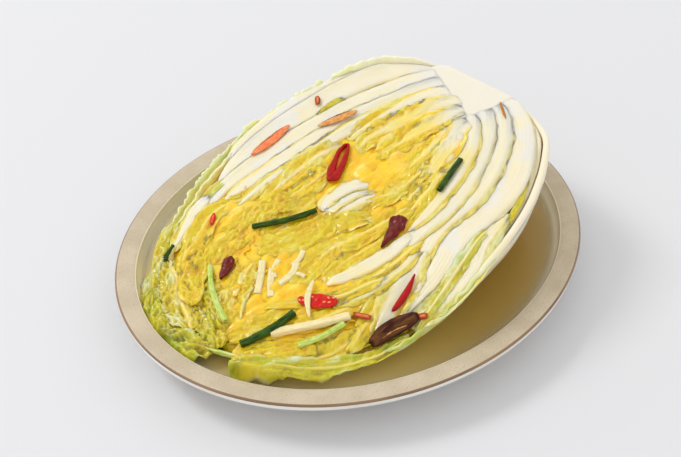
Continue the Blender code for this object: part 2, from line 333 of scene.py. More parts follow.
class BrothSettings(bpy.types.PropertyGroup):
    level: size("Level", "Height of the broth's surface", 22)
    haze: size("Haze", "Depth of broth that hides most of the plate", 4)
    shallow: colour("Shallow", "Broth at its edge", "#FAF0CC")
    deep: colour("Deep", "Broth where it is deep", "#E8C870")
    # painted shade: these two colours darken the broth on the side away from the window, where the head's
    # shadow falls
    shallow_shaded: colour("Murky shallow", "Murkier broth at its edge", "#CEBA80")
    deep_shaded: colour("Murky deep", "Murkier broth where it is deep", "#A6822E")


class LeafSettings(bpy.types.PropertyGroup):
    blade: size("Blade thickness", "Thickness of a leaf's blade", 0.65)
    rib: size("Rib thickness", "Thickness of a leaf's rib where nothing else is given", 2.2)
    outer_blade: size("Outer blade", "Thickness of a standing leaf's blade", 1.1)
    outer_rib: size("Outer rib", "Most that a standing leaf's rib is thick", 7.5)
    rib_pale: colour("Rib", "Pale, waxy rib", "#EAE1CA")
    rib_white: colour("Stem", "Whitest part of a rib, at the root", "#E5E0D2")
    rib_warm: colour("Rib strands", "Warmer strands of the rib", "#ECDFB6")
    # partly painted shade: a rib turns to this yellow where it meets the blade, and at its edges along the
    # seams
    rib_yellow_and_seam_shade: colour("Rib edge", "Rib where it turns to blade", "#F4D974")
    amber_and_fold_shade: colour("Deep folds", "Blade in its deep folds", "#D88C00")
    # painted shade and painted highlight: the fold colours darken the blade in its folds and the crest
    # colours lighten it on its crests; they also colour the deepest and palest leaves
    yolk: colour("Yolk yellow", "Blade of the inner leaves", "#FABC00")
    yellow: colour("Yellow", "Brighter patches of the blade", "#FFCC06")
    cream_and_crest_highlight: colour("Crests", "Blade on its crests", "#FAE27A")
    moss_and_fold_shade: colour("Green folds", "Green blade in its folds", "#8A8400")
    lime: colour("Lime", "Green blade", "#CABC08")
    pale_green_and_crest_highlight: colour("Green crests", "Green blade on its crests", "#DAE7AE")
    fresh_dark_and_fold_shade: colour("Outer folds", "Greenest blade in its folds", "#6E8A0C")
    fresh: colour("Outer green", "Greenest blade, of the outer leaves", "#A8C420")
    vein: colour("Veins", "Net of veins in the blade", "#F6EA90")


class ToppingSettings(bpy.types.PropertyGroup):
    scallion: colour("Scallion", "Dark green of a scallion", "#0E2204")
    scallion_light: colour("Scallion strands", "Lighter strands of a scallion", "#3C5E10")
    stem: colour("Stem", "Light green stem", "#A4C234")
    stem_light: colour("Stem strands", "Pale strands of the stem", "#D6E08C")
    chilli: colour("Chilli", "Fresh red chilli", "#B80C04")
    chilli_light: colour("Chilli strands", "Brighter strands of the chilli", "#D0200A")
    chilli_dark: colour("Dark chilli", "Dark, soft chilli skin", "#520602")
    chilli_inside: colour("Chilli flesh", "Inside of a split chilli", "#B81410")
    jujube: colour("Jujube skin", "Wrinkled skin of a jujube", "#521C0A")
    jujube_flesh: colour("Jujube flesh", "Cut flesh of a jujube", "#E2B272")
    pear: colour("Pear", "Cut pear", "#E6D294")
    radish: colour("Radish", "Cut radish", "#E0D094")


class StageSettings(bpy.types.PropertyGroup):
    floor: colour("Floor", "Plain pale floor", "#DADADC")
    room: bpy.props.FloatProperty(name="Room", description="Strength of the soft light", default=0.93, min=0)
    key: bpy.props.FloatProperty(name="Key", description="Power of the window light", default=66, min=0)
    turn: bpy.props.FloatProperty(
        name="Camera turn",
        description="Turn of the camera about the plate",
        default=math.radians(38.2),
        subtype="ANGLE",
    )
    rise: bpy.props.FloatProperty(
        name="Camera rise",
        description="Angle that the camera looks down at",
        default=math.radians(42),
        subtype="ANGLE",
    )
    distance: size("Camera distance", "Distance from the plate to the camera", 1078)
    field: bpy.props.FloatProperty(
        name="Camera field",
        description="Angle of view",
        default=math.radians(24),
        subtype="ANGLE",
    )


# Material helpers

RGBA = {"data_type": "RGBA"}


def connect(tree, node, inputs):
    """Sets a node's inputs, given as values or as other nodes' outputs."""
    for key, value in inputs.items():
        if isinstance(value, bpy.types.NodeSocket):
            tree.links.new(value, node.inputs[key])
        else:
            node.inputs[key].default_value = value


def add(tree, kind, inputs, output=0, **settings):
    """Adds a node with its settings and its inputs, and returns one of its outputs."""
    node = tree.nodes.new(kind)
    for key, value in settings.items():
        setattr(node, key, value)
    connect(tree, node, inputs)
    return node.outputs[output]


def blend(tree, measure, low, high, first, second):
    """A colour that goes from the first to the second as a measure goes from low to high."""
    limits = {"Value": measure, "From Min": low, "From Max": high}
    share = add(tree, "ShaderNodeMapRange", limits, interpolation_type="SMOOTHSTEP")
    return add(tree, "ShaderNodeMix", {0: share, 6: first, 7: second}, 2, **RGBA)


def new_material(name):
    """A material with its node tree and its shader."""
    material = bpy.data.materials.new(name)
    material.use_nodes = True
    return material, material.node_tree, material.node_tree.nodes["Principled BSDF"]


# Materials


def leaf_material(leaf):
    """Wet, salted napa leaf: smooth waxy ribs, and thin veined blades that the light passes into."""
    if "salted_leaf" in bpy.data.materials:
        return bpy.data.materials["salted_leaf"]
    material, tree, shader = new_material("salted_leaf")
    place = add(tree, "ShaderNodeAttribute", {}, "Vector", attribute_name="leaf_mm")
    blade, green, tone = (
        add(tree, "ShaderNodeAttribute", {}, "Fac", attribute_name=mark)
        for mark in ("blade", "green", "tone")
    )
    # veins: a net about 4 mm across, with pale cords between the cells
    warp = add(tree, "ShaderNodeTexNoise", {"Vector": place, "Scale": 0.16, "Detail": 2.0}, "Color")
    push = add(tree, "ShaderNodeVectorMath", {0: warp, 3: 5.0}, operation="SCALE")
    warped = add(tree, "ShaderNodeVectorMath", {0: place, 1: push}, operation="ADD")
    cells = {"Vector": warped, "Scale": 0.26}
    net = add(tree, "ShaderNodeTexVoronoi", cells, "Distance", feature="DISTANCE_TO_EDGE")
    limits = {"Value": net, "From Min": 0.16, "From Max": 0.0}
    vein = add(tree, "ShaderNodeMapRange", limits, interpolation_type="SMOOTHSTEP")
    # strands about 2 mm apart run along the leaf, and its colour drifts over about 11 mm
    strand_place = add(tree, "ShaderNodeMapping", {"Vector": place, "Scale": (0.03, 0.6, 1.0)})
    strands = add(tree, "ShaderNodeTexNoise", {"Vector": strand_place, "Scale": 1.0, "Detail": 3.0}, "Fac")
    mottle = add(tree, "ShaderNodeTexNoise", {"Vector": place, "Scale": 0.09, "Detail": 4.0}, "Fac")
    rib = blend(tree, strands, 0.35, 0.7, leaf.rib_pale, leaf.rib_warm)
    # partly painted shade: low tone turns the rib yellow, as at its edges along the seams
    rib = blend(tree, tone, 0.35, 0.8, leaf.rib_yellow_and_seam_shade, rib)
    rib = blend(tree, tone, 0.9, 1.0, rib, leaf.rib_white)
    # the strands and the drift make some stretches paler
    vary = add(tree, "ShaderNodeMath", {0: strands, 1: mottle}, operation="ADD")
    vary = add(tree, "ShaderNodeMath", {0: vary, 1: 1.0}, operation="SUBTRACT")
    pale = add(tree, "ShaderNodeMath", {0: vary, 1: 0.9, 2: tone}, operation="MULTIPLY_ADD")
    # painted shade and painted highlight: tone, which the leaves take partly from the heights of their
    # folds, sends the blade to amber in its folds and to cream on its crests
    yellow = blend(tree, mottle, 0.35, 0.65, leaf.yolk, leaf.yellow)
    yellow = blend(tree, pale, -0.3, 0.32, leaf.amber_and_fold_shade, yellow)
    yellow = blend(tree, pale, 0.55, 1.15, yellow, leaf.cream_and_crest_highlight)
    lime = blend(tree, pale, -0.2, 0.5, leaf.moss_and_fold_shade, leaf.lime)
    lime = blend(tree, pale, 0.5, 1.05, lime, leaf.pale_green_and_crest_highlight)
    fresh = blend(tree, pale, -0.2, 0.7, leaf.fresh_dark_and_fold_shade, leaf.fresh)
    tint = add(tree, "ShaderNodeMix", {0: green, 6: yellow, 7: lime}, 2, **RGBA)
    tint = blend(tree, green, 1.0, 1.7, tint, fresh)
    veined = add(tree, "ShaderNodeMath", {0: vein, 1: 0.08}, operation="MULTIPLY")
    tint = add(tree, "ShaderNodeMix", {0: veined, 6: tint, 7: leaf.vein}, 2, **RGBA)
    # the blade swells between its veins, and has a grain of about 1.4 mm
    fine = add(tree, "ShaderNodeTexNoise", {"Vector": place, "Scale": 0.7, "Detail": 3.0}, "Fac")
    swell = add(tree, "ShaderNodeMath", {0: net, 1: blade}, operation="MULTIPLY")
    height = add(tree, "ShaderNodeMath", {0: fine, 1: 0.3, 2: swell}, operation="MULTIPLY_ADD")
    relief = {"Height": height, "Strength": 0.4, "Distance": 0.0011}
    connect(tree, shader, {
        "Base Color": add(tree, "ShaderNodeMix", {0: blade, 6: rib, 7: tint}, 2, **RGBA),
        "Normal": add(tree, "ShaderNodeBump", relief),
        "Roughness": 0.36,
        "Specular IOR Level": 0.3,
        "Subsurface Weight": 0.8,
        "Subsurface Radius": (1.0, 0.97, 0.9),
        "Subsurface Scale": 0.0035,
        "Coat Weight": 0.4,
        "Coat Roughness": 0.06,
    })
    return material


def rim_material(plate):
    """Unglazed stoneware: warm beige clay, satin, with fine dark and pale grit."""
    material, tree, shader = new_material("stoneware_rim")
    place = add(tree, "ShaderNodeTexCoord", {}, "Object")
    # grit of about 1 mm, in clouds of about 17 mm
    grit = add(tree, "ShaderNodeTexNoise", {"Vector": place, "Scale": 900.0, "Detail": 2.0}, "Fac")
    cloud = add(tree, "ShaderNodeTexNoise", {"Vector": place, "Scale": 60.0, "Detail": 3.0}, "Fac")
    clay = blend(tree, cloud, 0.3, 0.7, plate.clay, plate.clay_light)
    relief = {"Height": grit, "Strength": 0.3, "Distance": 0.0003}
    connect(tree, shader, {
        "Base Color": blend(tree, grit, 0.58, 0.72, clay, plate.grit),
        "Normal": add(tree, "ShaderNodeBump", relief),
        "Roughness": 0.55,
    })
    return material


def glaze_material(name, colour, other, roughness):
    """Fired glaze: glossy, and a little darker in patches about 40 mm across, where it pools."""
    material, tree, shader = new_material(name)
    place = add(tree, "ShaderNodeTexCoord", {}, "Object")
    cloud = add(tree, "ShaderNodeTexNoise", {"Vector": place, "Scale": 25.0, "Detail": 3.0}, "Fac")
    connect(tree, shader, {
        "Base Color": blend(tree, cloud, 0.3, 0.7, colour, other),
        "Roughness": roughness,
        "Coat Weight": 0.4,
        "Coat Roughness": 0.05,
    })
    return material


def broth_material(broth):
    """Cloudy, faintly yellow brine: it hides more of the plate where it is deeper."""
    material, tree, shader = new_material("cloudy_brine")
    cloud = add(tree, "ShaderNodeAttribute", {}, "Fac", attribute_name="cloud")
    # painted shade: the broth is darker on the side away from the window, where the head's shadow falls
    place = add(tree, "ShaderNodeTexCoord", {}, "Object")
    away = {0: place, 1: (0.786, -0.618, 0.0)}
    across = add(tree, "ShaderNodeVectorMath", away, "Value", operation="DOT_PRODUCT")
    lit_broth = add(tree, "ShaderNodeMix", {0: cloud, 6: broth.shallow, 7: broth.deep}, 2, **RGBA)
    shaded_colours = {0: cloud, 6: broth.shallow_shaded, 7: broth.deep_shaded}
    shaded_broth = add(tree, "ShaderNodeMix", shaded_colours, 2, **RGBA)
    opacity = {"Value": cloud, "To Min": 0.08, "To Max": 0.9}
    connect(tree, shader, {
        "Base Color": blend(tree, across, -0.03, 0.11, lit_broth, shaded_broth),
        "Alpha": add(tree, "ShaderNodeMapRange", opacity),
        "Roughness": 0.04,
        "IOR": 1.34,
    })
    return material


def cut_material(name, shades, roughness, grain=(0.25, 1.2), coat=0.2):
    """Skin, its lighter strands and the flesh of one fruit or vegetable: wet, with a grain along it."""
    skin, strand, flesh = (
        linear(shade) if isinstance(shade, str) else shade for shade in (*shades, shades[-1])[:3]
    )
    material, tree, shader = new_material(name)
    measured = add(tree, "ShaderNodeAttribute", {}, "Vector", attribute_name="grain_mm")
    rim = add(tree, "ShaderNodeAttribute", {}, "Fac", attribute_name="rim")
    place = add(tree, "ShaderNodeMapping", {"Vector": measured, "Scale": (*grain, grain[1])})
    streak = add(tree, "ShaderNodeTexNoise", {"Vector": place, "Scale": 1.0, "Detail": 3.0}, "Fac")
    limits = {"Value": streak, "From Min": 0.35, "From Max": 0.65}
    share = add(tree, "ShaderNodeMapRange", limits, interpolation_type="SMOOTHSTEP")
    outside = add(tree, "ShaderNodeMix", {0: share, 6: skin, 7: strand}, 2, **RGBA)
    soft = {0: share, 6: flesh, 7: outside}
    inside = add(tree, "ShaderNodeMix", soft, 2, blend_type="SOFT_LIGHT", **RGBA)
    relief = {"Height": streak, "Strength": 0.4, "Distance": 0.0004}
    connect(tree, shader, {
        "Base Color": add(tree, "ShaderNodeMix", {0: rim, 6: inside, 7: outside}, 2, **RGBA),
        "Normal": add(tree, "ShaderNodeBump", relief),
        "Roughness": roughness,
        "Specular IOR Level": 0.08,
        "Coat Weight": coat,
        "Coat Roughness": 0.06,
        "Subsurface Weight": 0.15,
        "Subsurface Radius": (1.0, 0.8, 0.7),
        "Subsurface Scale": 0.002,
    })
    return material


# Plate and broth: rings with their insets and heights in mm

PLATE_SIDES = 144


def oval_turned(plate, name, rings, cloud=None, finishes=None):
    """A closed oval shape from rings of (inset from the plate's edge, share of that oval, height)."""
    inset, share, height = (np.array(column)[:, None] for column in zip(*rings))
    angle = closed_turn(PLATE_SIDES)[None, :]
    x = (plate.long_side / 2 - inset * MM) * share * np.cos(angle)
    y = (plate.short_side / 2 - inset * MM) * share * np.sin(angle)
    marks = {}
    if cloud is not None:
        marks["cloud"] = np.broadcast_to(np.array(cloud)[:, None], x.shape)
    piece, _, _ = grid_object(name, stacked(x, y, height * MM), marks)
    if finishes is not None:
        for face in piece.data.polygons:
            face.material_index = int(finishes[face.index // PLATE_SIDES])
    weld(piece)
    return piece


def wall_rings(plate, count, top=1.0):
    """The well's wall from the floor's edge up to a share of its width, as rings in mm."""
    steps = np.sin(np.linspace(0, 1, count) * math.asin(top))
    insets = plate.floor_inset + (plate.rim_width - plate.floor_inset) * steps
    heights = plate.floor_height + (plate.height - plate.floor_height) * (1 - np.sqrt(1 - steps**2))
    return [(inset, 1, height) for inset, height in zip(insets / MM, heights / MM)]


def plate_rings(plate):
    """Rings from the floor's centre over the rim to the foot and the underside's centre, by finish."""
    floor_in, floor = plate.floor_inset / MM, plate.floor_height / MM
    inset, top = plate.rim_width / MM, plate.height / MM
    low = top - plate.lip_height / MM
    foot_in, foot = plate.foot_inset / MM, plate.foot_height / MM
    foot_out = foot_in + plate.foot_width / MM
    well = [(floor_in, share, floor) for share in (0, 0.3, 0.6, 0.9)] + wall_rings(plate, 26)[:-1]
    well += [(inset + 0.15, 1, top - 0.9), (inset - 0.2, 1, top - 0.25)]
    rim = [(inset - 0.7, 1, top)] + [(width, 1, top) for width in (11, 8, 5, 3, 1.8)]
    edge = [(1.2, 1, top - 0.06), (0.6, 1, top - 0.35), (0.2, 1, top - 0.8)]
    under = [(0, 1, top - 1.5), (0, 1, low + 1.6), (0.35, 1, low + 0.8), (1.2, 1, low + 0.2)]
    under += [(2.75, 1, low), (inset - 2, 1, 20.5), (16, 1, 17), (20, 1, 13.5), (26, 1, 10)]
    under += [(32, 1, 7.5), (42, 1, 5), (foot_in - 1, 1, foot), (foot_in - 0.3, 1, 0.6)]
    under += [(foot_in + 0.3, 1, 0), (foot_out - 0.3, 1, 0), (foot_out + 0.3, 1, 0.6)]
    under += [(foot_out + 1, share, foot) for share in (1, 0.6, 0.3, 0)]
    return [well, rim, edge, under]


def build_plate(plate):
    """The oval plate: a glazed well, an unglazed rim and a glazed underside with its foot ring."""
    parts = plate_rings(plate)
    finishes = np.repeat(range(len(parts)), [len(rings) for rings in parts])
    piece = oval_turned(plate, "oval_plate", sum(parts, []), finishes=finishes)
    finish_piece(piece, [
        glaze_material("well_glaze", plate.well, plate.well_dark, 0.12),
        rim_material(plate),
        glaze_material("toasted_edge", plate.edge, plate.edge_light, 0.4),
        glaze_material("foot_glaze", plate.foot, plate.foot_dark, 0.2),
    ], "stoneware", "plate")


def build_broth(plate, broth):
    """Broth that laps at the wall with a thin raised edge, and sinks just into the plate under it."""
    floor_in, floor, level = plate.floor_inset / MM, plate.floor_height / MM, broth.level / MM
    rise = plate.height / MM - floor
    wall = wall_rings(plate, 14, math.sqrt(1 - (1 - (level - floor) / rise) ** 2))
    edge = wall[-1][0]
    under = [(floor_in, share, floor - 0.3) for share in (0, 0.5)]
    under += [(inset - 0.4, 1, height - 0.3) for inset, _, height in wall]
    over = [(edge - 0.4, 1, level + 0.5), (edge + 0.4, 1, level + 0.12)]
    over += [(edge + step, 1, level) for step in (1.2, 2.2, 3.4, 5, 7, 9.5, 13, 18, 25, 34)]
    over += [(edge + 34, share, level) for share in (0.75, 0.5, 0.25, 0)]
    insets = np.array([inset for inset, _, _ in over])
    share = np.clip((floor_in - insets) / (floor_in - plate.rim_width / MM), 0, 1)
    depth = np.maximum(level - floor - rise * (1 - np.sqrt(1 - share**2)), 0)
    cloud = np.r_[np.zeros(len(under)), 1 - np.exp(-depth * MM / broth.haze)]
    piece = oval_turned(plate, "brine", under + over, cloud)
    finish_piece(piece, broth_material(broth), "broth", "broth")


# Leaves

LEAF_COLUMNS, OUTER_COLUMNS = 130, 280
LIP_ROWS, WALL_ROWS = 9, 13
# Lip length in mm and lip angle in degrees where a leaf is all rib
STALK_LIP, STALK_ANGLE = 3.5, 18
# Heights over the face, and how far the outermost leaves sink towards the tips, in mm
HIGHEST_TOP = 5.5
SUNK_TIP = {"left": 3.2, "right": 0.8}
RUFFLE_LENGTH = 13

# Per layer from outside: run where the rib gives way to the blade, lip length in mm, lip angle in
# degrees, top over the face in mm, share of green, tone from deep yellow to pale, rib thickness share
LEFT_LEAVES = [
    (
        0.16,
        [(0, 1), (0.08, 5), (0.15, 7.5), (0.22, 6), (0.3, 5), (0.5, 5), (0.7, 4), (1, 3)],
        75,
        [(0, -0.5), (0.04, 3), (0.11, 5), (0.17, 3.5), (0.24, -1.5), (0.4, -2.5), (0.55, -0.5), (1, -0.5)],
        0.9, 1.1, 0.6,
    ),
    (0.60, 6, 45, -2.5, 0.6, 1.1, 0.9),
    (0.50, 5, 40, -3.0, 0.6, 0.7, 0.9),
    (0.60, 5, 40, -3.0, 0.0, 0.5, 1.0),
    (0.60, 5, 40, -3.0, 0.0, 0.5, 1.0),
    (0.30, 5, 40, -3.0, 0.0, 0.25, 0.9),
    (0.46, 5, 40, -3.0, 0.0, 0.3, 0.9),
    (0.18, 5, 40, -3.0, 0.0, 0.1, 0.9),
    (0.12, 5, 40, -3.0, 0.0, 0.1, 0.8),
]
RIGHT_LEAVES = [
    (
        0.44,
        [(0, 3), (0.3, 3), (0.4, 5), (0.56, 7), (0.66, 5), (0.9, 5), (1, 5)],
        45,
        [(0, -0.3), (1, -0.3)],
        1.25, 0.75, 1.2,
    ),
    (0.48, 6, 45, -2.5, 0.9, 0.5, 1.0),
    (0.58, 5, 40, -3.0, 0.60, 0.6, 1.0),
    (0.34, 5, 40, -3.0, 0.0, 0.5, 0.9),
    (0.56, 5, 40, -3.0, 0.0, 0.6, 1.0),
    (0.28, 5, 40, -3.0, 0.0, 0.3, 0.9),
    (0.50, 5, 40, -3.0, 0.0, 0.5, 1.0),
    (0.20, 5, 40, -3.0, 0.0, 0.15, 0.9),
    (0.30, 5, 40, -3.0, 0.0, 0.2, 0.9),
]


def leaf_centre(depth, run, side, split, lip, angle, top):
    """Points of a leaf's middle surface: a lip that leans outwards at the cut, and the wall under it."""
    margin = 0 if side == "left" else 180
    edge = head_point(depth, run, margin)
    outward = head_point(depth - 0.05, run, margin) - edge
    outward[:, 2] = 0
    outward = unit(outward)
    fall = edge[:, 2] - head_point(depth, run, 90)[:, 2]
    s = np.linspace(1, 0, LIP_ROWS)[None, :]
    bend = np.radians(angle)[:, None]
    reach = lip[:, None] * (1 - np.cos(bend * s)) / bend
    rise = lip[:, None] * np.sin(bend * s) / bend
    peak = lip * np.sin(np.minimum(np.radians(angle), np.pi / 2)) / np.radians(angle)
    sunk = np.maximum(peak - top, 0)
    turn0 = np.degrees(np.arcsin(np.clip(sunk / np.maximum(fall, 4 * MM), 0, 0.85) ** (BULGE / 2)))
    share = np.linspace(0, 1, WALL_ROWS)[None, :] ** 1.25
    turn = turn0[:, None] + (split - 2 - turn0[:, None]) * share
    if side == "right":
        turn = 180 - turn
    wall = head_point(depth, run[:, None], turn)
    over = np.maximum(top - peak, 0)[:, None, None] * UP
    base = wall[:, :1] + over
    lips = base + outward[:, None] * reach[..., None] + UP * rise[..., None]
    return np.concatenate([lips, wall[:, 1:] + over * (1 - share[:, 1:, None])], axis=1)


def build_leaf(leaf, layer, side):
    """A standing leaf: a thick pale rib from the root, and a thin ruffled blade towards the tips."""
    rib_end, lip_mm, lip_angle, top_mm, green, tone, rib_share = (
        LEFT_LEAVES if side == "left" else RIGHT_LEAVES
    )[layer]
    seed = layer * 2 + (side == "right") + 1
    depth = layer * LAYER_PITCH + (0.04 if side == "left" or layer else 0.06)
    split = SPLIT_TURNS[layer % 2] if side == "left" else 180 - SPLIT_TURNS[layer % 2]
    columns = LEAF_COLUMNS if layer else OUTER_COLUMNS
    # places closer together towards both ends, and how far the rib has given way to the blade there
    u = np.linspace(0, 1, columns)
    run = 0.5 * u + 0.25 * (1 - np.cos(np.pi * u))
    leafy = smooth(rib_end - 0.14, rib_end + 0.14, run + 0.05 * noise(run * 9, 0, seed))
    wave = noise(run * 7, 0, seed + 0.3) + 0.5 * noise(run * 19, 0, seed + 0.6)
    # the outermost leaves have a lip of their own along the run, jagged on the left
    jag = 0
    if isinstance(lip_mm, list):
        teeth = noise(run * 45, 0, seed + 0.4) + 0.8 * noise(run * 100, 0, seed + 0.5)
        even = MM * along(lip_mm, run) * (1 + 0.15 * wave)
        jag = even * np.maximum(0.6 * teeth, -0.5) * leafy * (side == "left")
        lip = even + jag
    else:
        lip = MM * (STALK_LIP + (lip_mm - STALK_LIP) * leafy) * (1 + 0.3 * wave * leafy)
    lip *= 1 - 0.6 * smooth(0.9, 1, run)
    lip_angle = lip_angle - 30 * smooth(0.5, 0.62, run) * (layer == 0 and side == "right")
    lean = lip_angle - STALK_ANGLE
    angle = STALK_ANGLE + lean * leafy * (1 + 0.25 * noise(run * 6, 0, seed + 0.9))
    top_mm = along(top_mm, run) if isinstance(top_mm, list) else top_mm
    top = MM * (top_mm + 1.2 * noise(run * 5, 0, seed + 1.7) + 1.6 * leafy * noise(run * 14, 0, seed + 2.1))
    # the outermost leaves sink where they leave the stem and towards the tips
    sunk = 3 * (1 - smooth(0, 0.06, run)) + smooth(0.45, 0.62, run) * SUNK_TIP[side]
    top = np.minimum(top, HIGHEST_TOP * MM) - MM * sunk * (layer == 0) + 0.7 * jag
    centre = leaf_centre(depth, run, side, split, lip, angle, top)
    # lengths along and across the leaf in mm, how far below the lip, and how far out on it
    s = np.linspace(1, 0, LIP_ROWS)[None, :]
    length = distance_along(centre, 0)[:, LIP_ROWS, None] / MM
    across = distance_along(centre, 1) / MM
    below = np.clip((np.arange(centre.shape[1]) - LIP_ROWS + 1) / WALL_ROWS, 0, 1)[None, :]
    out = np.pad(np.broadcast_to(s, (columns, LIP_ROWS)), [(0, 0), (0, WALL_ROWS - 1)])
    blade = leafy[:, None] * (1 - 0.6 * below * (1 - smooth(0.5, 0.75, run))[:, None])
    ruffle = 2 * np.pi * length / RUFFLE_LENGTH + 5 * noise(length / 26, 0, seed)
    ruffle = 1.5 * np.sin(ruffle) * out**1.8
    ruffle = ruffle + 0.7 * noise(length / 4, across / 8, seed + 21) * out
    crumple = 1.3 * noise(length / 26, across / 9, seed) + 0.8 * noise(length / 9, across / 5, seed + 5)
    crumple = crumple * (1 - 0.7 * below) + 0.35 * noise(length / 3, across / 2.6, seed + 9)
    grooves = 0.22 * np.sin(across * 2.2 + 2 * noise(length / 40, across / 8, seed)) * (1 - out)
    rib = grooves + 0.5 * noise(length / 45, across / 9, seed + 3)
    calm = 1 - 0.65 * smooth(0.48, 0.62, run)[:, None] * (layer == 0)
    shift = MM * (blade * calm * (crumple + ruffle) + (1 - blade) * rib)
    points = centre + surface_normals(centre) * shift[..., None]
    # a rib fills most of the room to the next layer, and its edge at the cut is round
    pitch = np.linalg.norm(head_point(depth - 0.05, run, 0) - head_point(depth + 0.05, run, 0), axis=-1)
    rib_thick = np.minimum(0.9 * pitch, leaf.outer_rib) * rib_share * (1 - 0.35 * run)
    thick = rib_thick * (1 - leafy) + leaf.outer_blade * (1 if layer or side == "left" else 1.5) * leafy
    inward = np.clip(1 - (across + 0.12) / (500 * thick[:, None]), 0, 1)
    ends = np.interp(run, [0, 0.04, 0.97, 1], [0.4, 1, 1, 0.3])[:, None]
    thickness = thick[:, None] * np.sqrt(1 - inward**2) * ends
    marks = {
        "leaf_mm": stacked(length + seed * 300, across, 0.0),
        "blade": blade,
        "green": green * (1 + 0.3 * noise(length / 16, across / 10, seed + 12)),
        # painted highlight and shade: the blade is paler on its crumpled crests and a deeper yellow in their
        # hollows
        "tone": np.clip(0.92 * (1 - blade) + tone * blade + 0.14 * crumple * blade, 0, 1.1),
    }
    piece, row, column = grid_object(f"napa_leaf_{layer + 1}_{side}", points, marks)
    thicken(piece, thickness, row, column)
    slot = ("leaf_outer", "leaf_middle", "leaf_inner")[layer // 3]
    finish_piece(piece, leaf_material(leaf), slot, f"leaf_{layer + 1}_{side}")


# Laid leaves: wilted ribs and blades that lie over each other on the cut face

HALF_X, HALF_Y = 165, 140


class Cover:
    """Heights in mm over the table, 1 mm apart over the plate, that grow as leaves are laid on."""

    latest = None

    def __init__(self, level):
        span_x, span_y = (np.arange(-half, half + 1) * MM for half in (HALF_X, HALF_Y))
        x, y = np.meshgrid(span_x, span_y, indexing="ij")
        run = np.linspace(0, 1, 300)
        left, right = head_point(0.0, run, 0), head_point(0.0, run, 180)
        rim = np.concatenate([left, right[::-1]])
        inside = np.zeros(x.shape, bool)
        for (x1, y1, _), (x2, y2, _) in zip(rim, np.roll(rim, -1, axis=0)):
            crosses = (y1 > y) != (y2 > y)
            inside ^= crosses & (x < (x2 - x1) * (y - y1) / ((y2 - y1) or 1e-12) + x1)
        # the first leaves lie a little under the cut face, and less so near the root
        sunk = 2.5 - 1.2 * smooth(88 * MM, 104 * MM, x) - 0.6 * smooth(108 * MM, 126 * MM, x)
        self.level = level / MM
        self.height = np.where(inside, face_height(x, y) / MM - sunk, self.level)

    @staticmethod
    def soften(field, soft):
        """A field of heights, blurred over some mm."""
        reach = np.arange(-3 * soft, 3 * soft + 1)
        weight = np.exp(-0.5 * (reach / soft) ** 2)
        weight /= weight.sum()
        for axis in (0, 1):
            field = sum(w * np.roll(field, int(step), axis=axis) for w, step in zip(weight, reach))
        return field

    def rest(self, x, y, soft):
        """Where a leaf comes to rest: it bridges small hollows, and falls outside the head."""
        raised = self.height > self.level + 0.5
        share = self.soften(raised.astype(float), soft)
        mean = self.soften(np.where(raised, self.height, 0.0), soft) / np.maximum(share, 1e-3)
        field = self.level + (mean - self.level) * smooth(0.04, 0.42, share)
        i = np.clip(x / MM + HALF_X, 0, 2 * HALF_X - 0.01)
        j = np.clip(y / MM + HALF_Y, 0, 2 * HALF_Y - 0.01)
        a, b = i.astype(int), j.astype(int)
        i, j = i - a, j - b
        low = field[a, b] * (1 - j) + field[a, b + 1] * j
        high = field[a + 1, b] * (1 - j) + field[a + 1, b + 1] * j
        return low * (1 - i) + high * i

    def lay(self, points, thickness):
        """Raises the heights to the tops of a leaf, a given thickness over its points."""
        a = np.clip(np.rint(points[..., 0] / MM + HALF_X).astype(int), 0, 2 * HALF_X)
        b = np.clip(np.rint(points[..., 1] / MM + HALF_Y).astype(int), 0, 2 * HALF_Y)
        np.maximum.at(self.height, (a, b), points[..., 2] / MM + thickness)


def patch(path, widths, rib, fold, lift=0.2, green=0.0, tone=0.4, thick=0.0, ragged=0.12, crumple=0.3):
    """A leaf's path and widths in mm, its rib's share of them at each end, and how it is folded."""
    return dict(
        path=path, widths=widths, rib=rib, fold=fold, lift=lift,
        green=green, tone=tone, thick=thick, ragged=ragged, crumple=crumple,
    )


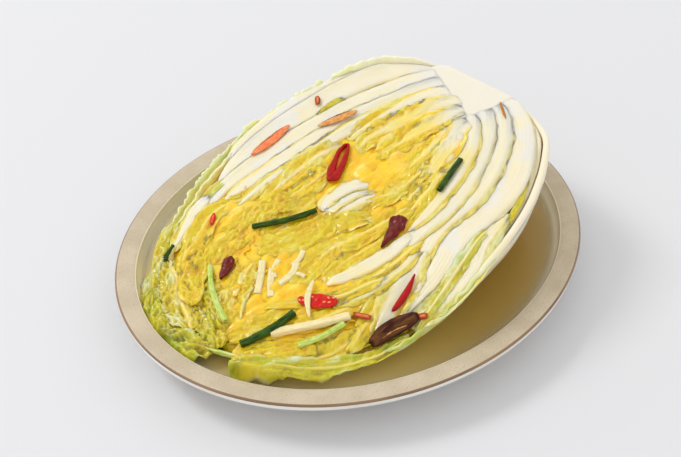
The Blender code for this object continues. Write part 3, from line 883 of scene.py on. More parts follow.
# Groups in the order in which they are laid, each patch from the root's side to the tips' side
LAID = {
    "ribs_left": [
        patch([(105, 84), (84, 99), (59, 105), (29, 108), (0, 107), (-30, 101)],
              (8, 12, 8), (1, 0.6), 0.5, green=0.5, tone=0.9),
        patch([(124, 62), (112, 72), (100, 80), (84, 88), (59, 92), (29, 95), (-2, 96), (-24, 92),
               (-46, 86)],
              (14, 17, 12), (1, 0.9), 0.5, tone=0.9),
        patch([(66, 82), (50, 84), (34, 85)],
              (4, 7, 3), (0, 0), 0.8, green=0.75, tone=0.3),
        patch([(126, 50), (112, 56), (100, 61), (69, 71), (37, 76), (10, 80), (-25, 81),
               (-50, 78), (-66, 72)],
              (13, 15, 9), (1, 0.8), 0.6, tone=0.9),
        patch([(124, 42), (110, 47), (95, 52), (71, 58), (49, 63), (27, 65), (0, 68), (-23, 68), (-55, 68)],
              (11, 14, 8), (1, 0.6), 0.8, tone=0.85),
        patch([(122, 34), (108, 38), (95, 43), (82, 47), (46, 56), (15, 58), (-6, 58), (-24, 59),
               (-57, 56)],
              (12, 14, 9), (0.9, 0.2), 1.0, tone=0.8),
    ],
    "ribs_right": [
        patch([(124, -40), (108, -56), (93, -67), (80, -76), (66, -83), (50, -89), (34, -96)],
              (2, 4, 5), (0, 0), 0.8, green=0.8, tone=0.3),
        patch([(66, -78), (38, -87), (19, -98), (2, -101), (-16, -99), (-30, -96)],
              (14, 24, 18), (0.5, 0.15), 1.6, green=0.6, tone=0.7),
        patch([(133, 6), (130, -8), (121, -28), (103, -48), (80, -62), (60, -66), (30, -72),
               (6, -82), (-16, -87), (-34, -91)],
              (12, 21, 5), (1, 0.9), 0.6, tone=0.9, thick=3.0),
        patch([(126, 8), (122, -4), (114, -18), (102, -30), (74, -47), (50, -55), (29, -57),
               (7, -66), (-10, -74)],
              (12, 17, 9), (1, 0.4), 0.9, tone=0.8),
        patch([(121, 10), (115, 0), (106, -12), (93, -23), (60, -41), (35, -49), (13, -51), (-5, -55)],
              (11, 15, 9), (1, 0.6), 0.8, tone=0.85),
        patch([(114, 12), (106, 4), (96, -8), (84, -19), (58, -32), (31, -42), (12, -45)],
              (10, 14, 8), (0.9, 0.4), 0.8, tone=0.7),
    ],
    "tips": [
        patch([(-84, 77), (-96, 73), (-110, 64), (-124, 53), (-136, 42), (-143, 30)],
              (8, 13, 14), (0, 0), 2.4, green=0.8, crumple=0.6),
        patch([(-134, 44), (-142, 28), (-145, 8), (-143, -12), (-136, -32)],
              (12, 16, 14), (0, 0), 2.6, green=1.0, tone=0.15, crumple=0.75),
        patch([(-40, 84), (-52, 83), (-68, 78)],
              (6, 9, 6), (0, 0), 0.5, green=0.9, tone=0.5),
        patch([(-113, 50), (-119, 31), (-126, 15), (-134, -8)],
              (22, 26, 20), (0.12, 0.06), 2.4, green=0.6, crumple=0.65),
        patch([(-104, 24), (-114, 6), (-122, -12), (-130, -32)],
              (18, 22, 16), (0, 0), 2.6, green=0.85, tone=0.1, crumple=0.8),
        patch([(-58, 82), (-75, 74), (-90, 65), (-106, 56)],
              (8, 12, 9), (1, 0.1), 0.8, lift=0.4, tone=0.85),
        patch([(-46, 60), (-66, 63), (-84, 56), (-99, 46), (-113, 30)],
              (14, 17, 14), (0.1, 0), 2.0),
        patch([(-80, 47), (-99, 36), (-114, 21), (-123, 6)],
              (16, 20, 14), (0, 0), 2.4, green=0.1, tone=0.2, crumple=0.5),
        patch([(-66, 10), (-80, 6), (-92, -1), (-104, -10), (-116, -22)],
              (14, 20, 16), (0.1, 0), 2.4, green=0.2, crumple=0.55),
    ],
    "fan": [
        patch([(-46, -80), (-60, -82), (-76, -82), (-96, -76), (-114, -66)],
              (10, 16, 12), (0.1, 0), 2.0, green=0.4, tone=0.35),
        patch([(-76, -75), (-90, -69), (-109, -58), (-127, -42)],
              (12, 18, 14), (0, 0), 2.2, tone=0.2),
        patch([(-74, -44), (-90, -39), (-103, -35), (-122, -31)],
              (10, 16, 12), (0, 0), 2.2),
        patch([(-24, -69), (-45, -66), (-60, -63), (-76, -58), (-91, -50), (-109, -44)],
              (8, 13, 10), (0.2, 0), 1.6, tone=0.3),
        patch([(-5, -66), (-25, -72), (-46, -78), (-71, -88)],
              (12, 16, 9), (0.3, 0), 1.6),
        patch([(12, -62), (0, -67), (-17, -76), (-36, -83), (-55, -92)],
              (10, 20, 5), (0.5, 0.4), 1.4, tone=0.75),
        patch([(8, -60), (-4, -65), (-24, -66), (-42, -65), (-60, -58)],
              (9, 11, 6), (0.5, 0.1), 1.3, tone=0.6),
        patch([(14, -57), (-8, -59), (-23, -58), (-50, -54), (-71, -40)],
              (8, 11, 8), (0.3, 0), 1.6),
        patch([(-20, -64), (-38, -60), (-51, -56), (-70, -43), (-93, -26)],
              (9, 12, 5), (0.2, 0), 1.6),
    ],
    "heart_root": [
        patch([(120, 30), (106, 36), (92, 41), (70, 46), (52, 49), (36, 50)],
              (12, 19, 12), (1, 0), 1.6, tone=0.7, crumple=0.4),
        patch([(120, 18), (106, 24), (95, 29), (81, 32), (61, 37), (45, 39), (33, 36)],
              (12, 22, 14), (0.9, 0), 1.8, tone=0.45, crumple=0.5),
        patch([(114, 6), (98, 7), (84, 4), (66, 1), (50, -1), (40, -1)],
              (10, 17, 12), (0.8, 0), 2.2, tone=0.35, crumple=0.45),
        patch([(116, 12), (101, 16), (88, 18), (72, 20), (53, 21), (38, 23)],
              (10, 20, 14), (0.8, 0), 2.2, tone=0.3, crumple=0.5),
        patch([(112, 0), (98, 2), (84, -4), (70, -10), (44, -20), (24, -24)],
              (10, 20, 14), (0.9, 0), 2.0, tone=0.5, crumple=0.4),
        patch([(66, -20), (48, -26), (28, -31), (8, -35)],
              (10, 14, 10), (0.3, 0), 1.8),
        patch([(58, -10), (40, -12), (25, -11), (9, -5), (-12, 0)],
              (12, 17, 12), (0.1, 0), 2.2, tone=0.3, crumple=0.4),
    ],
    "heart_middle": [
        patch([(30, 50), (9, 52), (-11, 51), (-37, 47), (-52, 42)],
              (14, 19, 14), (0.2, 0), 1.8, tone=0.6, crumple=0.45),
        patch([(22, 38), (8, 37), (-12, 36), (-37, 36), (-54, 34)],
              (12, 21, 14), (0.1, 0), 2.0, tone=0.2, crumple=0.45),
        patch([(10, -38), (-10, -37), (-30, -35), (-52, -37)],
              (12, 16, 10), (0.1, 0), 1.8, tone=0.3),
        patch([(30, -27), (12, -28), (-10, -25), (-33, -20), (-50, -23), (-70, -29)],
              (14, 21, 14), (0.1, 0), 2.0),
        patch([(-8, 24), (-24, 21), (-40, 19), (-58, 23)],
              (12, 18, 14), (0.1, 0), 2.0, tone=0.2),
        patch([(18, -4), (6, 1), (-6, 3), (-17, 4)],
              (10, 14, 10), (0.7, 0.6), 1.6, lift=0.5, tone=0.75, thick=1.6),
        patch([(20, 2), (8, 6), (-4, 8), (-16, 7)],
              (7, 10, 8), (0.8, 0.7), 1.2, lift=0.4, tone=0.8, thick=1.6),
        patch([(26, 7), (14, 12), (1, 15), (-9, 14), (-16, 10)],
              (9, 12, 9), (0.8, 0.6), 1.3, lift=0.4, tone=0.8, thick=1.8),
        patch([(4, -16), (-8, -12), (-18, -6), (-30, 2)],
              (12, 17, 12), (0, 0), 2.2, tone=0.3),
    ],
    "heart_tip": [
        patch([(-22, 29), (-36, 38), (-54, 38), (-78, 34), (-96, 28)],
              (18, 25, 18), (0, 0), 2.2, tone=0.15, crumple=0.45),
        patch([(-14, 4), (-26, 0), (-40, 2), (-52, 8), (-66, 18)],
              (16, 24, 16), (0, 0), 2.4, tone=0.3),
        patch([(13, -47), (-5, -50), (-20, -49), (-38, -46), (-52, -41)],
              (7, 10, 5), (1, 0.8), 0.7, lift=0.5, tone=0.7, thick=2.2),
    ],
    "outer_right": [
        patch([(52, -80), (38, -83), (17, -90), (-6, -97), (-30, -103)],
              (5, 10, 6), (0.2, 0.1), 1.4, green=1.0, tone=0.55, ragged=0.3),
        patch([(-34, -102), (-60, -99), (-90, -86), (-114, -66), (-132, -46)],
              (6, 13, 9), (0.1, 0), 1.3, lift=0.5, green=1.1, tone=0.35),
    ],
}


ROW_PITCH, COLUMN_PITCH = 0.85, 0.7
# A path that starts past this x grows out of the stem, and its rib is this much deeper there, in mm
ROOTED_X, STEM_DEPTH = 105, 2.5
RIB_SPREAD = 1.25
# Leaves keep this far from the margins, over this range of run, and what is past them is drawn in
MARGIN = 4
HANG_RUN = (0.72, 0.84)
PULL, PULL_REACH = 3.5 * MM, 7 * MM


def keep_on_head(x, y):
    """Draws in what would hang over the root or the margins; only the tips may hang."""
    x = np.minimum(x, ROOT_X - ROOT_SLANT * y - 2 * MM)
    run = np.clip((ROOT_X - x) / (ROOT_X - TIP_X), 0, 1)
    run = np.clip((ROOT_X - ROOT_SLANT * y * (1 - run) ** 4 - x) / (ROOT_X - TIP_X), 0, 1)
    held = 1 - smooth(*HANG_RUN, run)
    over_right = np.maximum(MM * (along(RIGHT_MARGIN, run) + MARGIN) - y, 0) * held
    over_left = np.maximum(y - MM * (along(LEFT_MARGIN, run) - MARGIN), 0) * held
    y = y + over_right - PULL * np.tanh(over_right / PULL_REACH)
    y = y - over_left + PULL * np.tanh(over_left / PULL_REACH)
    return x, y


def lay_leaf(leaf, name, shape, cover, seed):
    """A wilted leaf or rib laid along a path over what is already there."""
    # its outline: a path with rounded ends and a ragged edge
    stops = np.array(shape["path"], float)
    reach = np.r_[0, np.cumsum(np.linalg.norm(np.diff(stops, axis=0), axis=1))]
    length = reach[-1]
    share = reach / length
    columns = max(int(max(shape["widths"]) / COLUMN_PITCH), 10)
    s = np.linspace(0, 1, int(length / ROW_PITCH))[:, None]
    c = np.linspace(-1, 1, columns)[None, :]
    centre = stacked(*(along(list(zip(share, stops[:, k])), s[:, 0]) for k in (0, 1)))
    way = unit(np.gradient(centre, axis=0))
    left = stacked(-way[:, 1], way[:, 0])
    rooted = float(stops[0, 0] > ROOTED_X)
    ends = 0.25 + 0.75 * np.sqrt(np.clip(np.minimum(s / 0.06 + rooted, (1 - s) / 0.1), 0, 1))
    half = along(list(zip((0, 0.5, 1), shape["widths"])), s[:, 0])[:, None] / 2 * ends
    l_mm = s * length * np.ones_like(c)
    edge_noise = noise(l_mm / 9, np.sign(c) * 2, seed) + 0.5 * noise(l_mm / 3.5, np.sign(c) * 3, seed + 1)
    least_rib = min(shape["rib"])
    ragged = shape["ragged"] * (1 - 0.8 * least_rib)
    half = half * (1 + ragged * edge_noise * np.abs(c) ** 2) * (RIB_SPREAD if least_rib > 0.3 else 1)
    c_mm = c * half
    # its folds, from the broad ones to the finest, each about as wide as its divisor in mm
    fold = shape["fold"]
    warp = noise(l_mm / 32, c_mm / 14, seed + 2)
    pleat = 1 - 2 * np.abs(np.sin(np.pi * (c_mm / 8.5 + 0.9 * warp + 0.5 * l_mm / length)))
    broad = noise(l_mm / 24 + warp, c_mm / 10, seed + 3)
    creased = ridges(l_mm / 19 + 0.9 * warp, c_mm / 8.5 + 0.4 * warp, seed + 3.5) - 0.3
    small = ridges(l_mm / 7 + warp, c_mm / 4.5, seed + 4) - 0.3
    fine = noise(l_mm / 2.6, c_mm / 2.2, seed + 5)
    side_veins = np.sin((l_mm - 0.9 * np.abs(c_mm)) / 0.75 + 2.5 * noise(l_mm / 9, c_mm / 6, seed + 11))
    form = 0.6 * broad - 0.12 * pleat * (0.6 + 0.6 * warp) + 0.5 * creased + 0.05 * fine
    form = form + shape["crumple"] * (small + 0.5 * ridges(l_mm / 3.6, c_mm / 3, seed + 4.5))
    form = form + 0.04 * side_veins
    # the rib down its middle, with the blade on either side
    rib_share = shape["rib"][0] + (shape["rib"][1] - shape["rib"][0]) * s
    rib = 1 - smooth(rib_share * 0.85 - 0.08, rib_share * 1.15 + 0.12, np.abs(c) + 0.05 * edge_noise)
    rib = rib * (rib_share > 0.02)
    blade = (1 - rib) * (1 - 0.85 * rooted * smooth(-26, -2, -s * length))
    groove = 0.12 * np.sin(c_mm * 2.6 + noise(l_mm / 30, c_mm / 6, seed))
    groove = groove + 0.35 * noise(l_mm / 25, c_mm / 6, seed + 6)
    # its thickness, and how far it drops at its edges, its ends and its rib
    start = smooth(-46 if rooted else -16, 0, -l_mm)
    thick_rib = (shape["thick"] or leaf.rib / MM) * (1 - 0.6 * c**4) * (1 - 0.65 * rooted * start)
    thick = thick_rib * rib + leaf.blade / MM * blade
    edge = smooth(0.7, 1.0, np.abs(c))
    drop = (0.4 + 0.8 * rib) * edge * (1 - start) + (1.6 + 0.4 * rooted) * smooth(-15, 0, -l_mm)
    drop = drop + 1.2 * smooth(0.93, 1.0, s) + 0.7 * rib
    folds = fold * form * (0.25 + 0.75 * blade) + groove * rib
    height = shape["lift"] + thick / 2 + folds * (1 - 0.7 * start * rooted) - drop
    swing = 0.35 * fold * np.sin(l_mm / 4.2 + 5 * noise(l_mm / 20, 0, seed + 7)) * np.abs(c) ** 3 * blade
    x = (centre[:, :1] + left[:, :1] * (c_mm + swing)) * MM
    y = (centre[:, 1:] + left[:, 1:] * (c_mm + swing)) * MM
    x, y = keep_on_head(x, y)
    # where it leaves the stem, a rib reaches down into it
    deeper = STEM_DEPTH * start * rooted
    z = (cover.rest(x, y, 3) + height - deeper / 2) * MM
    points = stacked(x, y, z)
    cover.lay(points, (thick + deeper) / 2)
    # its colour: painted highlight, paler on the blade's crests and edges; painted shade, deeper yellow in
    # its folds and yellow at the rib's edges; white where it leaves the stem
    tone = shape["tone"] + 0.42 * form * blade + 0.2 * noise(l_mm / 20, c_mm / 12, seed + 9)
    tone = tone + (0.3 * blade - 0.45 * rib) * smooth(0.72, 1.0, np.abs(c))
    tone = tone + (1.0 - tone) * start * rooted
    green = shape["green"] * (1 + 0.5 * noise(l_mm / 14, c_mm / 10, seed + 8))
    marks = {
        "leaf_mm": stacked(l_mm + seed * 211, c_mm, 0.0),
        "blade": blade,
        "green": np.maximum(green, 0),
        "tone": np.clip(tone, -0.5, 1),
    }
    piece, row, column = grid_object(name, points, marks)
    thin = np.interp(np.abs(c), [0, 0.85, 1], [1, 1, 0.35])
    thin = thin * np.interp(l_mm[:, :1], [0, 10], [0.35 + 0.65 * rooted, 1])
    thicken(piece, (thick + deeper) * thin * MM, row, column)
    return piece


LAID_SLOTS = {
    "ribs_left": "leaf_middle",
    "ribs_right": "leaf_middle",
    "tips": "leaf_middle",
    "fan": "leaf_inner",
    "heart_root": "heart",
    "heart_middle": "heart",
    "heart_tip": "heart",
    "outer_right": "leaf_outer",
}


def build_laid(leaf, level):
    """Lays the wilted leaves group by group, each over the ones before."""
    cover = Cover(level)
    seed = 3.0
    for group, shapes in LAID.items():
        patches = []
        for shape in shapes:
            patches.append(lay_leaf(leaf, f"laid_{seed}", shape, cover, seed))
            seed += 1.31
        piece = join(f"laid_{group}", patches)
        nodes = [group] if group.startswith("heart") else []
        finish_piece(piece, leaf_material(leaf), LAID_SLOTS[group], *nodes)
    Cover.latest = cover


def build_packed(leaf):
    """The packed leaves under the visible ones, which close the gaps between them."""
    rows, columns = 130, 100
    run = np.linspace(0.02, 0.97, rows)[:, None]
    share = np.linspace(0, 1, columns)[None, :]
    left, right = head_point(0.15, run, 0), head_point(0.15, run, 180)
    points = left + (right - left) * share[..., None]
    x, y = points[..., 0], points[..., 1]
    l_mm, c_mm = x / MM, y / MM
    folds = noise(l_mm / 18, c_mm / 8, 70) + 2.0 * np.abs(noise(l_mm / 12, c_mm / 6, 71)) - 0.5
    height = -3.1 + 1.2 * folds + 0.4 * noise(l_mm / 4, c_mm / 3, 72)
    height -= 6 * np.abs(2 * share - 1) ** 6 + 3.5 * smooth(92, 108, l_mm)
    points[..., 2] = face_height(x, y) + height * MM
    blade = smooth(-96, -40, -l_mm)
    marks = {
        "leaf_mm": stacked(l_mm, c_mm, 0.0),
        "blade": blade,
        "green": 0.5 * smooth(90, 130, -l_mm),
        # painted highlight and shade: paler on the crests of the folds, deeper yellow in their hollows
        "tone": np.clip(0.35 + 0.3 * folds, 0, 1),
    }
    piece, row, column = grid_object("packed_leaves", points, marks)
    thicken(piece, np.full(x.shape, 2.0 * MM), row, column)
    finish_piece(piece, leaf_material(leaf), "heart")


def build_core(leaf):
    """The trimmed stem: a pale wedge that the ribs run into, cut flat at the root."""
    stations = [(0.0, 0.02, 0.0), (0.0, 0.02, 0.5), (0.0, 0.02, 0.86), (0.004, 0.02, 0.95)]
    stations += [(0.015, 0.05, 0.97), (0.03, 0.14, 0.98), (0.05, 0.3, 1), (0.075, 0.5, 1), (0.1, 0.7, 1)]
    stations += [(0.12, 0.85, 0.8), (0.13, 0.95, 0.0)]
    under = np.linspace(0, 180, 49)
    over = np.linspace(1, 0, 33)[1:]
    rings = []
    for run, depth, share in stations:
        bowl = head_point(depth, run, under)
        flat = bowl[:1] + (bowl[-1:] - bowl[:1]) * over[:, None]
        sunk = 1.9 - 1.4 * smooth(104 * MM, 126 * MM, flat[:, 0])
        flat[:, 2] = face_height(flat[:, 0], flat[:, 1]) - sunk * MM
        ring = np.concatenate([bowl, flat])
        ring[-1] = ring[0]
        middle = ring.mean(axis=0)
        ring = middle + (ring - middle) * share
        ring[:, 0] += (1.6 - 1.0 * share) * MM * (run == 0)
        rings.append(ring)
    points = np.array(rings)
    rows, columns = points.shape[:2]
    marks = {
        "leaf_mm": points / MM * (1, 0.2, 0),
        "blade": np.zeros((rows, columns)),
        "green": np.zeros((rows, columns)),
        "tone": np.full((rows, columns), 0.97),
    }
    piece, _, _ = grid_object("stem_core", points, marks)
    weld(piece)
    smoothing = piece.modifiers.new("smooth", "SUBSURF")
    smoothing.levels = 1
    smoothing.render_levels = 1
    finish_piece(piece, leaf_material(leaf), "core", "core")


# Toppings: starts, ends, lengths and widths in mm on the cut face

TUBE_SIDES = 24
RING_TURNS, RING_SIDES = 80, 20


def line_between(start, end):
    """The length from start to end, the direction along it and the one to its left."""
    length = math.dist(start, end)
    way = (np.array(end, float) - start) / length
    return length, way, np.array([-way[1], way[0]])


def beside(start, end, l_mm, c_mm, bow):
    """Places at a length along a line and a distance to its left, which bows to its left, in metres."""
    length, way, left = line_between(start, end)
    c_mm = c_mm + bow * np.sin(np.pi * l_mm / length)
    return [(start[k] + way[k] * l_mm + left[k] * c_mm) * MM for k in (0, 1)]


def strip_path(cover, start, end, count, lift, bow=0.0, arch=0.0):
    """Points over the laid leaves from start to end, smoothed, in metres."""
    s = np.linspace(0, 1, count)
    x, y = beside(start, end, s * math.dist(start, end), 0, bow)
    rest = cover.rest(x, y, 4)
    smoothed = np.polyval(np.polyfit(s, rest, 3), s)
    z = (np.maximum(rest, smoothed) + lift + arch * np.sin(np.pi * s)) * MM
    return stacked(x, y, np.polyval(np.polyfit(s, z, 4), s))


def tube(name, path, half_width, half_height, inner=0.0, seed=0.0, rough=0.0, square=2.0):
    """A closed tube or stick along a path, hollow if it has an inner share, squarer if square is more."""
    count = len(path)
    last = count - 1
    way = unit(np.gradient(path, axis=0))
    side = unit(np.cross(UP, way))
    over = np.cross(way, side)
    angle = closed_turn(TUBE_SIDES)
    cos, sin = np.cos(angle), np.sin(angle)
    shape = (np.abs(cos) ** square + np.abs(sin) ** square) ** (-1 / square)
    wide = np.broadcast_to(half_width, count)
    high = np.broadcast_to(half_height, count)
    order = [(i, 1.0) for i in range(count)]
    if inner:
        order += [(i, inner) for i in range(last, -1, -1)] + [(0, 1.0)]
    else:
        order = [(0, 0.0), (0, 0.7), *order, (last, 0.7), (last, 0.0)]
    reach = np.r_[0, np.cumsum(np.linalg.norm(np.diff(path, axis=0), axis=-1))] / MM
    rings, grain = [], []
    for i, share in order:
        lump = 1 + rough * noise(cos * 1.5 + i * 0.35, sin * 1.5, seed)
        lump[-1] = lump[0]
        across = side[i] * (cos * shape * wide[i] * share * lump * MM)[:, None]
        rise = over[i] * (sin * shape * high[i] * share * lump * MM)[:, None]
        rings.append(path[i] + across + rise)
        grain.append(stacked(reach[i], cos * 4, sin * 4))
    rim = np.ones((len(rings), len(angle)))
    piece, _, _ = grid_object(name, np.array(rings), {"grain_mm": np.array(grain), "rim": rim})
    weld(piece)
    return piece


def loop_ring(cover, name, start, end, width, thickness, height, lift, seed):
    """A long closed ring, as of a hollow pod cut on a slant, heavier at its end."""
    length, way, left = line_between(start, end)
    turn, around = closed_turn(RING_TURNS), closed_turn(RING_SIDES)
    cos, sin = np.cos(turn), np.sin(turn)
    heavy = thickness * (1 + 0.45 * cos + 0.3 * noise(cos * 1.2, sin * 1.2, seed + 2))
    long_half, short_half = length / 2 - thickness / 2, width / 2 - thickness / 2
    wobble = 1 + 0.16 * noise(cos * 1.6, sin * 1.6, seed)
    spine = (np.array(start, float) + end) / 2 + np.outer(cos * long_half * wobble, way)
    spine = spine + np.outer(sin * short_half * wobble, left)
    out = unit(np.outer(cos / long_half, way) + np.outer(sin / short_half, left))
    offset = np.cos(around)[None, :, None] * out[:, None] * heavy[:, None, None] / 2
    plan = (spine[:, None] + offset) * MM
    base = cover.rest(spine[:, 0] * MM, spine[:, 1] * MM, 5)[:, None]
    swell = 0.25 * noise(cos * 3, sin * 3, seed + 5)[:, None]
    z = (base + lift + swell + height / 2 * np.sin(around)[None, :]) * MM
    points = np.concatenate([plan, z[..., None]], axis=-1)
    skin = smooth(-0.55, 0.1, np.cos(around))[None, :] * np.ones_like(z)
    piece, _, _ = grid_object(name, points, {"rim": skin, "grain_mm": points / MM})
    weld(piece)
    return piece


def cut_slice(
    cover, name, start, end, width, thick, seed,
    arch=0.6, bow=0.0, lift=0.6, rough=0.3, taper=(0.5, 0.5), rim=1.0, flat=1.0,
):
    """A thin cut slice or a torn piece of skin that lies on the leaves."""
    length = math.dist(start, end)
    rows, columns = int(length / 0.5) + 8, int(width / 0.45) + 8
    s = np.linspace(0, 1, rows)[:, None]
    c = np.linspace(-1, 1, columns)[None, :]
    plan = np.clip(s, 1e-4, 1) ** taper[0] * np.clip(1 - s, 1e-4, 1) ** taper[1]
    half = width / 2 * plan / plan.max() * (1 + 0.25 * rough * noise(s * length / 5, c * 1.2, seed))
    # a half-moon slice keeps its skin on its full side only
    l_mm, c_mm = s * length * np.ones_like(c), c * half * np.where(c > 0, flat, 1)
    x, y = beside(start, end, l_mm, c_mm, bow)
    wrinkle = noise(l_mm / 4, c_mm / 3, seed + 1) + 0.4 * noise(l_mm / 1.6, c_mm / 1.4, seed + 2)
    z = (cover.rest(x, y, 5) + lift + thick / 2 + arch * (1 - c**2) + rough * wrinkle) * MM
    outside = np.maximum(np.abs(c), np.abs(2 * s - 1) ** 3) if flat == 1 else -c
    marks = {
        "rim": smooth(1 - rim, 1 - 0.4 * rim, outside) * np.ones_like(l_mm),
        "grain_mm": stacked(l_mm, c_mm, 0.0),
    }
    piece, row, column = grid_object(name, stacked(x, y, z), marks)
    thin = np.interp(np.abs(c), [0, 0.8, 1], [1, 0.9, 0.5]) * np.ones_like(s)
    thicken(piece, thick * thin * MM, row, column)
    return piece


def lay_cuts(cover, cuts):
    """Lays slices and torn skins, each given with its sizes, its shape, its finish, slot and nodes."""
    for name, start, end, width, thick, seed, shape, finish, slot, *nodes in cuts:
        piece = cut_slice(cover, name, start, end, width, thick, seed, **shape)
        finish_piece(piece, finish, slot, *nodes)


def build_scallions(cover, colours):
    """Hollow lengths of dark scallion, and pale green stems."""
    greens = (colours.scallion, colours.scallion_light, colours.stem)
    dark = cut_material("scallion_green", greens, 0.3, (0.15, 0.9))
    pale = cut_material("scallion_stem", (colours.stem, colours.stem_light), 0.34)
    lengths = (
        ("scallion_a", (74, -23), (46, -34), 0, 2.0, 1.5, dark, "scallion"),
        ("scallion_b", (-20, 12), (-58, 32), 2, 2.1, 1.7, dark, "scallion"),
        ("scallion_c", (-82, -46.5), (-120, -42), 2, 2.7, 2.2, dark, "scallion"),
        ("scallion_d", (-97, 25), (-116, -20), -3, 2.0, 1.2, pale, "scallion_pale"),
        ("scallion_e", (-104, 58), (-115, 53), 0, 1.3, 0.9, dark, "scallion"),
        ("minari", (-62, -72), (-94, -67), 1, 2.2, 1.6, pale, "scallion_pale"),
    )
    count = 40
    pinch = np.interp(np.linspace(0, 1, count), [0, 0.2, 0.6, 1], [1.0, 0.85, 1.05, 0.95])
    for name, start, end, bow, wide, high, finish, slot in lengths:
        path = strip_path(cover, start, end, count, high + 0.2, bow)
        look = {"inner": 0.72, "rough": 0.12, "seed": len(name) + wide}
        piece = tube(f"{name}_piece", path, wide * pinch, high / pinch, **look)
        finish_piece(piece, finish, slot, name)


def build_seeds(cover, start, end):
    """Flat pale seeds, 2.4 mm long, in the split chilli that runs from start to end."""
    bm = bmesh.new()
    length, way, left = line_between(start, end)
    middle = (np.array(start, float) + end) / 2
    shape = Matrix.Diagonal((1.2 * MM, 0.75 * MM, 0.4 * MM, 1.0))
    rows = itertools.product((-0.72, -0.46, 0.4, 0.62, 0.82), (-1.7, 1.6))
    for i, (share, side) in enumerate(rows):
        x, y = (middle + way * length / 2 * (share + 0.05 * side) + left * side) * MM
        z = float(cover.rest(np.array([x]), np.array([y]), 5)[0] + 2.7) * MM
        turn = Matrix.Rotation(math.atan2(way[1], way[0]) + 0.9 * math.sin(2.6 * i), 4, "Z")
        place = Matrix.Translation((x, y, z)) @ turn @ shape
        bmesh.ops.create_uvsphere(bm, u_segments=14, v_segments=8, radius=1, matrix=place)
    seeds = object_from(bm, "chilli_seeds")
    finish_piece(seeds, cut_material("chilli_seed", ("#D67A50", "#E8A070"), 0.3), "chilli")


def build_chillies(cover, colours):
    """A ring with its membrane, torn and split pieces with seeds, and a browned crack in the stem."""
    reds = (colours.chilli, colours.chilli_light, "#E08A2C")
    red = cut_material("fresh_chilli", reds, 0.16, coat=0.35)
    dark_reds = (colours.chilli_dark, "#7C1006", "#7A2410")
    dried = cut_material("dark_chilli", dark_reds, 0.24, coat=0.35)
    deep = cut_material("deep_chilli", ("#8E0A02", "#B41406"), 0.18, coat=0.3)
    fleshes = (colours.chilli_inside, "#D8362A", "#C8281E")
    inner = cut_material("chilli_flesh", fleshes, 0.25, (0.5, 0.5))
    membrane = cut_material("chilli_membrane", ("#E39A3C", "#EFB45C", "#E8A048"), 0.35)
    browned = cut_material("browned_crack", ("#9A5A1C", "#C08438"), 0.4)
    ring = loop_ring(cover, "chilli_ring_piece", (32, 46), (3, 26), 10.5, 4.2, 3.6, 2.4, 2)
    finish_piece(ring, deep, "chilli", "chilli_ring")
    split = ((-57, -58), (-73, -39))
    lay_cuts(cover, (
        ("chilli_web", (27, 42), (8, 29), 6, 0.8, 3, dict(arch=-0.2, lift=0.4, rough=0.4, rim=0.01),
         membrane, "chilli"),
        ("chilli_dark_piece", (15, -33), (-10, -44), 11, 1.4, 5,
         dict(arch=1.6, rough=1.0, taper=(0.2, 0.9), bow=1), dried, "chilli", "chilli_dark"),
        ("chilli_seeded_piece", *split, 10.5, 1.4, 6, dict(arch=0.8, rough=0.6, taper=(0.4, 0.4), rim=0.25),
         inner, "chilli", "chilli_seeded_a", "chilli_seeded_b"),
    ))
    build_seeds(cover, *split)
    lay_cuts(cover, (
        ("chilli_sliver_piece", (-9, -76), (-34, -85), 4.4, 1.2, 7,
         dict(arch=1.0, bow=1.5, rough=0.15, taper=(0.9, 0.6)), deep, "chilli", "chilli_sliver"),
        ("chilli_left_piece", (-83, 21), (-98, 11), 8, 1.5, 8,
         dict(arch=1.2, rough=1.2, taper=(0.3, 0.6), rim=0.6), dried, "chilli", "chilli_left"),
        ("stem_crack", (128, -1), (119, -17), 1.8, 0.6, 4, dict(arch=0.1, lift=0.1), browned, "core"),
        ("chilli_bit_piece", (-69, 61), (-76, 54), 3.6, 1.0, 9, {}, red, "chilli", "chilli_bit"),
    ))


